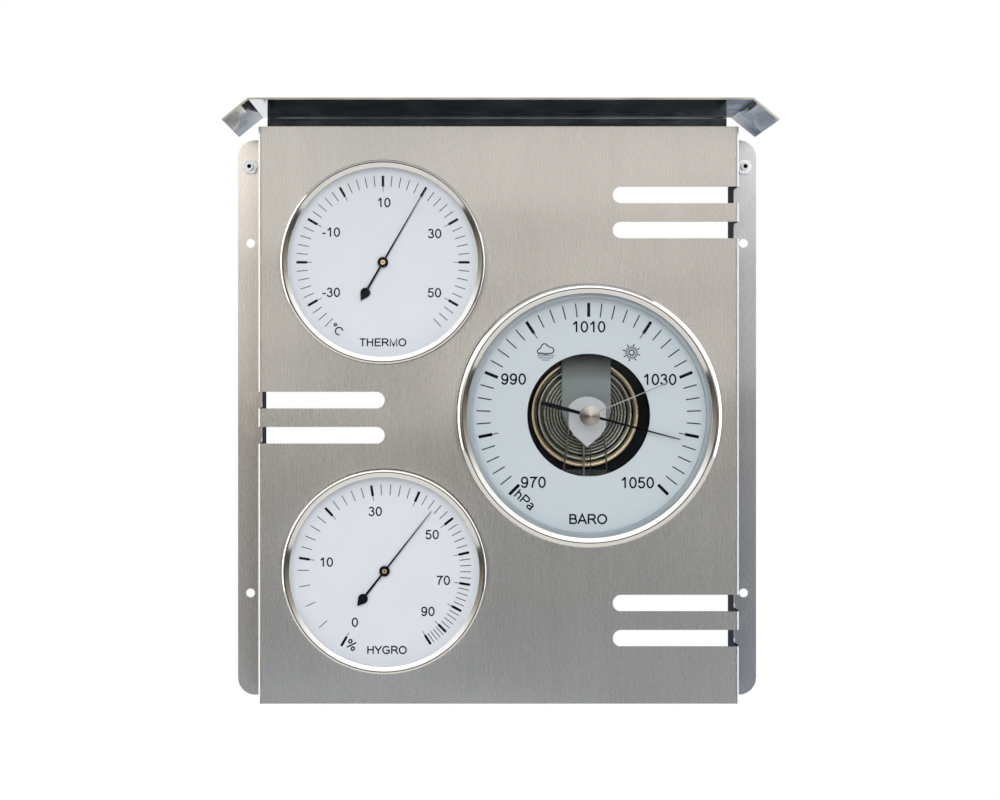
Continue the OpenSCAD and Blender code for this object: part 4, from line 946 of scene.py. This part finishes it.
@dataclass
class Printing:
    """A dial's printing in thin ink, laid out in pixels of the photograph from the dial's middle."""

    low: float = 1.405
    thick: float = 0.025
    px: float = 1.9832
    weight: float = 0.155

    def __post_init__(self) -> None:
        """Starts with nothing printed."""
        self.black: list[Shell] = []
        self.grey: list[Shell] = []
        self.letters = Lettering()

    def line(self, path: Array, width: float) -> Shell:
        """An inked line, turned from pixels into millimetres."""
        return ribbon(path / self.px, width / self.px, self.low, self.thick)

    def tick(self, angle: float, inner: float, outer: float, width: float, bold: bool = True) -> None:
        """A straight mark along the radius.

        Args:
            angle: Its clockwise angle from the top, in degrees.
            inner: Radius at its inner end.
            outer: Radius at its outer end.
            width: Its width.
            bold: Whether it is black rather than grey.
        """
        mark = self.line(through((0, inner), (0, outer)), width).turned(angle)
        (self.black if bold else self.grey).append(mark)

    def draw(self, lines: list[Line], dx: float, dy: float, turn: float = 0.0) -> None:
        """Black lines about a point.

        Args:
            lines: Their paths, with y upwards, and their widths.
            dx: How far the point is to the right of the dial's middle.
            dy: How far it is below.
            turn: The clockwise turn of them all, in degrees.
        """
        self.black += [self.line(path, width).turned(turn).moved(dx / self.px, -dy / self.px)
                       for path, width in lines]

    def label(self, text: str, dx: float, dy: float, cap: float, turn: float = 0.0,
              bold: float = 1.0) -> None:
        """A word of capitals cap high, centred on a point, with its strokes' weight times bold."""
        self.draw(self.letters.word(text, cap, self.weight * bold), dx, dy, turn)

    def make(self, name: str, dial: Dial) -> None:
        """Makes the black and the grey print pieces of a dial.

        Args:
            name: Start of their names.
            dial: The dial.
        """
        for kind, shells, ink in (("print", self.black, Palette.INK),
                                  ("fine_print", self.grey, Palette.GREY_INK)):
            if shells:
                build(f"{name}_{kind}", Shell.join(shells), dial, ink, smooth=False)


@dataclass
class Bezel:
    """A rolled steel bezel: an upright wall, a rounded front, a fine groove and a cone inwards."""

    r_out: float
    r_view: float
    height: float
    stack_top: float
    wall: float
    roll_w: float
    roll_flatness: float = 0.8
    roll_power: float = 1.6
    lip: float = 0.3
    steps: int = 256

    def profile(self) -> Array:
        """Radius and height round the section.

        The roll is the curve (w cos^p t, h sin^p t), nearly a slope with round ends. The groove
        is a notch 0.52 wide and 0.4 deep, the cone is straight, and the lip at its foot is round.

        Returns:
            The closed loop of the section.
        """
        inner, roll_h = self.r_out - self.wall, self.roll_w * self.roll_flatness
        turn = np.radians(np.linspace(0, 88, 24))
        top = np.stack([self.r_out - self.roll_w * (1 - np.cos(turn) ** self.roll_power),
                        self.height - roll_h * (1 - np.sin(turn) ** self.roll_power)], 1)
        groove = self.r_out - self.roll_w
        notch = np.array([[groove - 0.03, self.height - 0.04], [groove - 0.08, self.height - 0.4],
                          [groove - 0.46, self.height - 0.4], [groove - 0.52, self.height - 0.16]])
        cone_end = np.array([self.r_view + self.lip, self.stack_top + 2 * self.lip])
        along = np.array([0.02, 0.04, 0.2, 0.4, 0.6, 0.8, 0.96, 0.98, 1.0])[:, None]
        cone = notch[-1] + (cone_end - notch[-1]) * along
        lip = arc(self.r_view + self.lip, self.stack_top + self.lip, self.lip, self.lip, 90, 180, 7)
        foot = np.array([[self.r_view, self.stack_top], [inner, self.stack_top], [inner, 0.0],
                         [self.r_out - 0.3, 0.0], [self.r_out, 0.3]])
        return np.concatenate([foot[3:], top, notch, cone, lip[1:], foot[:3]])

    def make(self, key: str, dial: Dial) -> None:
        """Turns the section in place of the CAD bezel, with a dark ring of painted shade at its foot and a
        dark line of painted shade in its groove.

        Args:
            key: The instrument's key.
            dial: Its dial.
        """
        r, groove, top = self.r_out, self.r_out - self.roll_w - 0.07, self.height - 0.22
        # painted shade: a dark ring where the bezel meets the panel, and a dark line in the groove
        foot_shade_ring = np.array([[r - 0.05, 0.0], [r + 0.3, 0.0], [r + 0.27, 0.12], [r + 0.15, 0.3],
                         [r - 0.05, 0.4]])
        line = np.array([[groove - 0.42, top - 0.1], [groove, top - 0.1], [groove, top],
                         [groove - 0.42, top]])
        build(f"{key}_bezel_ring", lathe(self.profile(), self.steps), dial, Palette.BEZEL,
              f"{key}_bezel")
        build(f"{key}_seal", lathe(foot_shade_ring, self.steps), dial, Palette.SHADE_LINE)
        build(f"{key}_groove_shade_line", lathe(line, self.steps), dial, Palette.SHADE_LINE)


@dataclass
class Instrument:
    """What the three instruments share."""

    key: str
    dial_paint: Palette = Palette.DIAL
    spacer_paint: Palette = Palette.SPACER

    def __post_init__(self) -> None:
        """Finds the dial in the frame."""
        self.dial = Dial.of(f"{self.key}_dial")

    def dress_shared(self) -> None:
        """Finishes of the pieces that every instrument has."""
        for part, kind in (("case", Palette.CASE), ("glass", Palette.COVER_GLASS),
                           ("spacer", self.spacer_paint), ("dial", self.dial_paint),
                           ("clamp_ring", Palette.MOVEMENT_STEEL), ("bezel", Palette.BEZEL),
                           ("bush", Palette.BRASS), ("arbor", Palette.BRASS),
                           ("pointer", Palette.POINTER)):
            dress(kind, f"{self.key}_{part}")

    def cover(self, radius: float, low: float, high: float, hole: float = 0.0) -> None:
        """The cover glass: a disc with tiny chamfers, a hair clear of what it rests on.

        Args:
            radius: Its radius.
            low: Height of what it rests on.
            high: Height of what holds it down.
            hole: Radius of the hole in its middle.
        """
        low, high, c = low + 0.02, high - 0.02, 0.15
        profile = np.array([[hole, low], [radius - c, low], [radius, low + c], [radius, high - c],
                            [radius - c, high], [hole, high]])
        build(f"{self.key}_cover", lathe(profile, 160), self.dial, Palette.COVER_GLASS,
              f"{self.key}_glass", smooth=False)


@dataclass
class SmallInstrument(Instrument):
    """A small instrument with a drop-tailed pointer."""

    tick_in: float = 75.7
    tick_out: float = 86.6
    hair_in: float = 70.8
    figure_cap: float = 9.2

    def marks(self, ink: Printing, values: Array, angles: Array) -> None:
        """A bold tick with a hairline inwards at each tenth value, and thin ticks between.

        Args:
            ink: The dial's printing.
            values: Values of the scale.
            angles: Their angles.
        """
        tenth = values % 10 == 0
        for a in angles[tenth].tolist():
            ink.tick(a, self.tick_in, self.tick_out, 2.5)
            ink.tick(a, self.hair_in, self.tick_in, 0.65, False)
        for a in angles[~tenth].tolist():
            ink.tick(a, self.tick_in, self.tick_out, 0.82, False)

    def front(self) -> None:
        """The bezel, the cover glass, and a tiny dark ring of painted shade for the centre hole in the brass
        cap.
        """
        Bezel(SMALL_RIM, 47.6, 7.0, 5.4, 1.1, 0.95).make(self.key, self.dial)
        self.cover(50.0, 3.4, 5.4)
        # painted shade standing for the cap's centre hole
        hole = ribbon(arc(0, 0, 0.28, 0.28, 360, 0, 25), 0.36, 3.1, 0.02)
        build(f"{self.key}_cap_hole_shade", hole, self.dial, Palette.POINTER,
              body=f"{self.key}_hand")


@dataclass
class Thermometer(SmallInstrument):
    """The thermometer, from -36 to 56 degrees Celsius."""

    at_top: float = 10.0
    turn_per_celsius: float = 3.0

    def make(self) -> None:
        """Finishes, bezel and printing."""
        self.dress_shared()
        dress(Palette.MOVEMENT_STEEL, "thermo_bridge")
        dress(Palette.BRIGHT_STEEL, "thermo_coil")
        dress(Palette.BRASS, "thermo_adjuster")
        self.front()
        ink = Printing()
        degrees = np.arange(-36, 57, 2)
        self.marks(ink, degrees, (degrees - self.at_top) * self.turn_per_celsius)
        for text, dx, dy in (("10", 0.8, -59.8), ("-10", -51.8, -30.2), ("30", 51.6, -28.8),
                             ("-30", -51.8, 30), ("50", 51.4, 30.4)):
            ink.label(text, dx, dy, self.figure_cap)
        ink.label("°C", -46, 67, 8.4, 40)
        ink.label("THERMO", 0, 80, 7.8, bold=1.14)
        ink.make("thermo", self.dial)


@dataclass
class Hygrometer(SmallInstrument):
    """The hair hygrometer, from 0 to 100 percent, on the hair's uneven scale."""

    def make(self) -> None:
        """Finishes, bezel and printing."""
        self.dress_shared()
        dress(Palette.MOVEMENT_STEEL, "hygro_bridge")
        dress(Palette.HAIR, "hygro_hair")
        dress(Palette.BRASS, "hygro_hair_clamp")
        dress(Palette.BRIGHT_STEEL, "hygro_spring", "hygro_screw")
        self.front()
        ink = Printing()
        known = np.array([0, 2, 4, 6, 8, 10, 20, 30, 40, 50, 60, 70, 80, 90, 100], float)
        turned = np.array([-150, -130.9, -114.2, -100.6, -89.5, -81.3, -43.3, -8.9, 23.7, 52.3, 77.6,
                           99.2, 117.6, 134.8, 147.8])
        percent = np.arange(0, 101, 2)
        self.marks(ink, percent, np.interp(percent, known, turned))
        for text, dx, dy in (("0", -29.7, 51.3), ("10", -58.3, -8.9), ("30", -9.4, -59.6),
                             ("50", 47.5, -36.4), ("70", 58.7, 9.4), ("90", 43.3, 40.4)):
            ink.label(text, dx, dy, self.figure_cap)
        ink.label("%", -33, 73.9, 9.2, 35)
        ink.label("HYGRO", 2.2, 79, 7.9, bold=1.14)
        ink.make("hygro", self.dial)


@dataclass
class Barometer(Instrument):
    """The aneroid barometer, from 970 to 1050 hectopascals, with a window on its movement."""

    dial_paint: Palette = Palette.BARO_DIAL
    spacer_paint: Palette = Palette.BARO_SPACER
    hub_r: float = 5.0
    capsule_r: float = 27.6
    at_top: float = 1010.0
    turn_per_hpa: float = 3.375

    def make(self) -> None:
        """Finishes, bezel, knob, capsule and printing."""
        self.dress_shared()
        dress(Palette.CASE, "baro_base_plate")
        dress(Palette.BRIDGE_STEEL, "main_bridge")
        dress(Palette.WIRE_STEEL, "side_wires", "main_lever")
        dress(Palette.DARK_STEEL, "rocker_frame", "lever_bracket", "pointer_chain")
        dress(Palette.BRIGHT_STEEL, "bridge_screws", "shield_plate", "shield_posts", "rocking_shaft",
              "capsule_stud", "baro_screw", "baro_case_screws")
        dress(Palette.BRASS, "baro_hairspring")
        dress(Palette.MARKER, "marker_hand")
        dress(Palette.KNOB, "marker_knob")
        dress(Palette.CAPSULE, "aneroid_capsule")
        Bezel(LARGE_RIM, 61.3, 9.6, 7.9, 1.6, 2.3).make(self.key, self.dial)
        self.cover(64.4, 5.9, 7.9, 1.55)
        self.capsule()
        self.knob()
        self.printing()

    def capsule(self) -> None:
        """The capsule: a skin in fine ring waves, then in coarse ones, with a flat rim."""
        r = np.linspace(self.hub_r, self.capsule_r, 227)
        wave = np.where(r < FINE_WAVES.end, FINE_WAVES.height(r),
                        np.where(r < COARSE_WAVES.end, COARSE_WAVES.height(r), 0.0))
        front = np.stack([r, -24.9 + wave], 1)
        back = np.stack([r[::-1], -28.9 - wave[::-1]], 1)
        hub_top, hub_low = [[0, -23.6], [self.hub_r, -23.6]], [[self.hub_r, -30.2], [0, -30.2]]
        profile = np.concatenate([hub_low[::-1], back[::-1], front[::-1], hub_top[::-1]])
        build("capsule_skin", lathe(profile), self.dial, Palette.CAPSULE, "aneroid_capsule")

    def knob(self) -> None:
        """The marker's knob: a spindle, a drum with a rounded shoulder and a shallow turned cone."""
        shoulder = arc(4.85, 10.35, 0.25, 0.25, 0, 70, 5)
        profile = np.concatenate([[[0, 4.9], [1.5, 4.9], [1.5, 8.2], [4.9, 8.2], [5.1, 8.4]],
                                  shoulder, [[0.25, 12.7], [0, 12.8]]])
        build("knob_body", lathe(profile, 128), self.dial, Palette.KNOB, "marker_knob", "marker")

    def printing(self) -> None:
        """Ticks, figures, words and the two weather signs."""
        ink = Printing()
        for hpa in range(970, 1051, 2):
            a = (hpa - self.at_top) * self.turn_per_hpa
            ink.tick(a, 98.3, 112.3, 1.15 if hpa % 10 else 3.1)
            if hpa in (980, 1000, 1020, 1040):
                ink.tick(a, 92.0, 98.3, 0.9)
        for text, dx, dy in (("1010", 0, -88.4), ("990", -75.1, -36.1), ("1030", 71, -35.7),
                             ("970", -55.3, 67.1), ("1050", 48.6, 67.5)):
            ink.label(text, dx, dy, 11.1)
        ink.label("hPa", -63.6, 84.7, 9.6, 42)
        ink.label("BARO", -0.7, 103.9, 9.9, bold=1.1)
        ink.draw(self.sun(), 42.9, -62.5)
        ink.draw(self.cloud(), -42.9, -63.4)
        ink.make("baro", self.dial)

    def sun(self) -> list[Line]:
        """A small ring with sixteen rays, every second one longer.

        Returns:
            The sign's lines about its middle, in pixels.
        """
        lines = [(arc(0, 0, 2.6, 2.6, n=25), 1.25)]
        for i in range(16):
            a = math.radians(i * 22.5 + 6)
            lines.append((np.outer([4.0, 9.0 if i % 2 else 6.6], [math.cos(a), math.sin(a)]), 1.1))
        return lines

    def cloud(self) -> list[Line]:
        """Three puffs on a flat foot, with slanting dashes of rain below.

        Returns:
            The sign's lines about its middle, in pixels.
        """
        puffs = through(arc(-5.2, 0.4, 3.1, 2.9, 250, 95, 10), arc(-1.2, 4.4, 3.3, 3.6, 175, 20, 12),
                        arc(4.6, 1.4, 3.5, 3.1, 95, -70, 12), arc(0, 6.0, 9.0, 8.6, -62, -126, 10))
        rain = [(through((x + 0.7, y + 0.3), (x - 0.7, y - 0.3)), 1.15)
                for y, count in ((-1.6, 6), (-4.0, 7), (-6.2, 6), (-8.3, 3))
                for x in (np.arange(count) - (count - 1) / 2) * 2.5]
        return [(through(puffs, puffs[0]), 1.1), *rain]


@dataclass
class Body:
    """The folded housing, the hood and their fasteners."""

    stud_r: float = 2.7
    socket_r: float = 0.58
    socket_w: float = 1.1

    def make(self) -> None:
        """Finishes of the sheet metal."""
        dress(Palette.BRUSHED_SHEET, "front_housing")
        dress(Palette.MIRROR_SHEET, "roof_hood")
        dress(Palette.STUD, "roof_studs")
        dress(Palette.NUT, "roof_nuts")
        self.socket_shades()

    def socket_shades(self) -> None:
        """A dark hexagon of painted shade for each stud's socket recess, at the stud's front end."""
        low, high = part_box("roof_studs")
        front = Dial(0.0, 0.0, low.y / MM)
        middle = (low.z + high.z) / 2 / MM
        half = (high.x - low.x) / 2 / MM - self.stud_r
        # painted shade: a flat dark hexagon in place of the socket's recess
        disc = ribbon(arc(0, 0, self.socket_r, self.socket_r, n=7), self.socket_w, 0.0, 0.02)
        discs = [disc.moved(side * half, middle) for side in (-1, 1)]
        build("stud_socket_shades", Shell.join(discs), front, Palette.INK, smooth=False)


class Room(Nodes):
    """The world's nodes, which turn a direction into light."""

    def step(self, value: Socket, start: float, end: float) -> Socket:
        """A soft step from 0 at the start to 1 at the end."""
        return self.ranged(value, float(start > end), float(start < end), min(start, end),
                           max(start, end), interpolation_type="SMOOTHSTEP")

    def tones(self, height: Socket, rows: Stops) -> Socket:
        """Tones by height: each row is the sine of an elevation and a colour."""
        place = self.ranged(height, 0.0, 1.0, -1.0, 1.0)
        return self.ramp(place, [((h + 1) / 2, colour) for h, colour in rows])

    def light(self, colour: Socket, strength: float) -> None:
        """Shows plain white to the camera, and the room's colours to every other ray.

        Args:
            colour: The room's colour by direction.
            strength: How bright it is.
        """
        room = self.nodes["Background"]
        room.inputs["Strength"].default_value = strength
        self.put(colour, room.inputs["Color"])
        white = self.add("Background", Color=WHITE, Strength=1.0)
        both = self.add("MixShader", Fac=self.add("LightPath").outputs["Is Camera Ray"])
        self.put(room.outputs[0], both.inputs[1])
        self.put(white.outputs[0], both.inputs[2])
        out = next(n for n in self.nodes if n.type == "OUTPUT_WORLD")
        self.put(both.outputs[0], out.inputs["Surface"])


@dataclass
class Studio:
    """Camera, light, world and floor."""

    focal_px: float = 1909.0
    eye: Place = (-0.0246, -0.999, 0.0356)
    floor_z: float = -0.9
    floor_r: float = 2.8
    lamp_at: Place = (-0.12, -1.32, 0.42)
    lamp_side: float = 0.8
    lamp_power: float = 4.0
    room_strength: float = 4.0
    front_level: float = 0.385

    def camera(self) -> None:
        """The photograph's view: level, straight at the panel, with a small shift for the framing."""
        data = bpy.data.cameras.new("camera")
        data.sensor_width = 36.0
        data.lens = self.focal_px * 36.0 / 1000.0
        data.shift_x, data.shift_y = 0.05, -0.05
        data.clip_start, data.clip_end = 0.05, 50.0
        eye = stand("camera", data)
        eye.location = self.eye
        eye.rotation_euler = (math.pi / 2, 0, 0)
        bpy.context.scene.camera = eye

    def lamp(self) -> None:
        """A soft square lamp aimed at the station; the metal mirrors the room, not the lamp."""
        data = bpy.data.lights.new("key", "AREA")
        data.shape = "SQUARE"
        data.size, data.energy = self.lamp_side, self.lamp_power
        lamp = stand("key", data)
        lamp.location = self.lamp_at
        lamp.rotation_euler = (-Vector(self.lamp_at)).to_track_quat("-Z", "Y").to_euler()
        lamp.visible_glossy = False

    def world(self) -> None:
        """The room that lights the station, by the direction (x, y, z) in which it is seen.

        In front it follows a row of tones by height, with a dark patch round the camera and dark
        flanks, under a wide bright ceiling. Two bright strips stand at the sides. Behind is a white
        sheet over a dim table edge. The camera itself sees white all round.
        """
        world = bpy.data.worlds.new("studio")
        world.use_nodes = True
        bpy.context.scene.world = world
        room = Room(world.node_tree)
        x, y, z = room.split(room.add("TexCoord").outputs["Generated"])
        side, height = room.sum("ABSOLUTE", x), room.sum("ABSOLUTE", z)
        lit = room.mix(room.step(side, 0.27, 0.43), room.tones(z, self.front_tones()),
                       room.tones(z, self.flank_tones()))
        level = room.sum("MULTIPLY", room.step(z, -0.26, -0.19), room.step(z, 0.2, 0.13))
        depth = room.sum("MULTIPLY_ADD", room.step(z, -0.03, -0.07), 0.31, 0.68)
        patch = room.sum("MULTIPLY", room.step(side, 0.22, 0.14), level)
        patch = room.sum("MULTIPLY", patch, depth)
        lit = room.mix(patch, lit, (0.002, 0.0025, 0.003))
        strips = room.sum("MULTIPLY", room.step(y, -0.32, -0.2), room.step(height, 0.7, 0.5))
        strip = room.mix(room.step(x, -0.1, 0.1), (0.62, 0.605, 0.585), (0.55, 0.575, 0.64))
        lit = room.mix(strips, lit, strip)
        edge = room.sum("MULTIPLY_ADD", x, -0.25, z)
        behind = room.mix(room.step(edge, -0.155, -0.137), (0.025, 0.0325, 0.045), (0.25, 0.25, 0.25))
        lit = room.mix(room.step(y, 0.5, 0.7), lit, behind)
        room.light(lit, self.room_strength)

    def front_tones(self) -> Stops:
        """The light in front by the sine of the elevation, before the room's strength.

        Returns:
            Rows of a height and its colour.
        """
        warm, plain, cool = (1.03, 0.985, 0.925), (1.0, 1.0, 0.97), (0.93, 1.0, 1.09)
        rows = ((-1.0, 0.55, warm), (-0.45, 0.58, warm), (-0.30, 0.62, plain), (-0.18, 1.04, cool),
                (-0.16, 0.76, cool), (-0.14, 0.69, cool), (-0.123, 0.66, cool), (-0.11, 0.67, plain),
                (-0.079, 1.58, plain), (-0.055, 0.38, plain), (-0.031, 0.0, plain), (-0.020, 0.0, plain),
                (-0.0105, 2.9, warm), (-0.003, 3.3, warm), (0.005, 1.6, warm), (0.042, 0.06, warm),
                (0.054, 0.14, warm), (0.066, 1.3, warm), (0.081, 2.6, warm), (0.105, 1.3, warm),
                (0.12, 0.84, warm), (0.17, 0.76, plain), (0.30, 0.76, plain), (0.45, 0.94, plain),
                (0.70, 0.95, plain), (1.0, 1.0, plain))
        return [(h, tuple(self.front_level * v * c for c in tint)) for h, v, tint in rows]

    def flank_tones(self) -> Stops:
        """The light at the flanks, dark low down and pale towards the ceiling.

        Returns:
            Rows of a height and its colour.
        """
        return [(-1.0, (0.16, 0.155, 0.145)), (-0.76, (0.14, 0.135, 0.125)), (-0.62, (0.016, 0.016, 0.013)),
                (-0.2, (0.018, 0.017, 0.014)), (-0.06, (0.06, 0.052, 0.042)), (0.12, (0.11, 0.10, 0.09)),
                (0.32, (0.30, 0.30, 0.30)), (1.0, (0.34, 0.34, 0.34))]

    def floor(self) -> None:
        """A pale round floor well below the station, which hangs on a wall."""
        ring = arc(0, 0, self.floor_r, self.floor_r, n=65)[:-1]
        points = np.column_stack([ring, np.full(len(ring), self.floor_z)])
        mesh = bpy.data.meshes.new("floor")
        mesh.from_pydata(points.tolist(), [], [list(range(len(ring)))])
        sheet = Sheet.start("floor_finish")
        tone = sheet.blend(sheet.noise(3.0, 2), (0.55, 0.535, 0.51), (0.58, 0.565, 0.54))
        sheet.give(Roughness=0.9, Base_Color=tone)
        mesh.materials.append(sheet.material)
        floor = stand("floor", mesh)

    def make(self) -> None:
        """Sets the stage."""
        self.camera()
        self.world()
        self.floor()
        self.lamp()
        bpy.context.scene.view_settings.view_transform = "Standard"


def main() -> None:
    """Builds the station's pieces in order, then the stage."""
    logging.basicConfig(level=logging.INFO, format="%(message)s")
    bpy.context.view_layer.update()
    Body().make()
    Thermometer("thermo").make()
    Hygrometer("hygro").make()
    Barometer("baro").make()
    Studio().make()


if __name__ == "__main__":
    main()
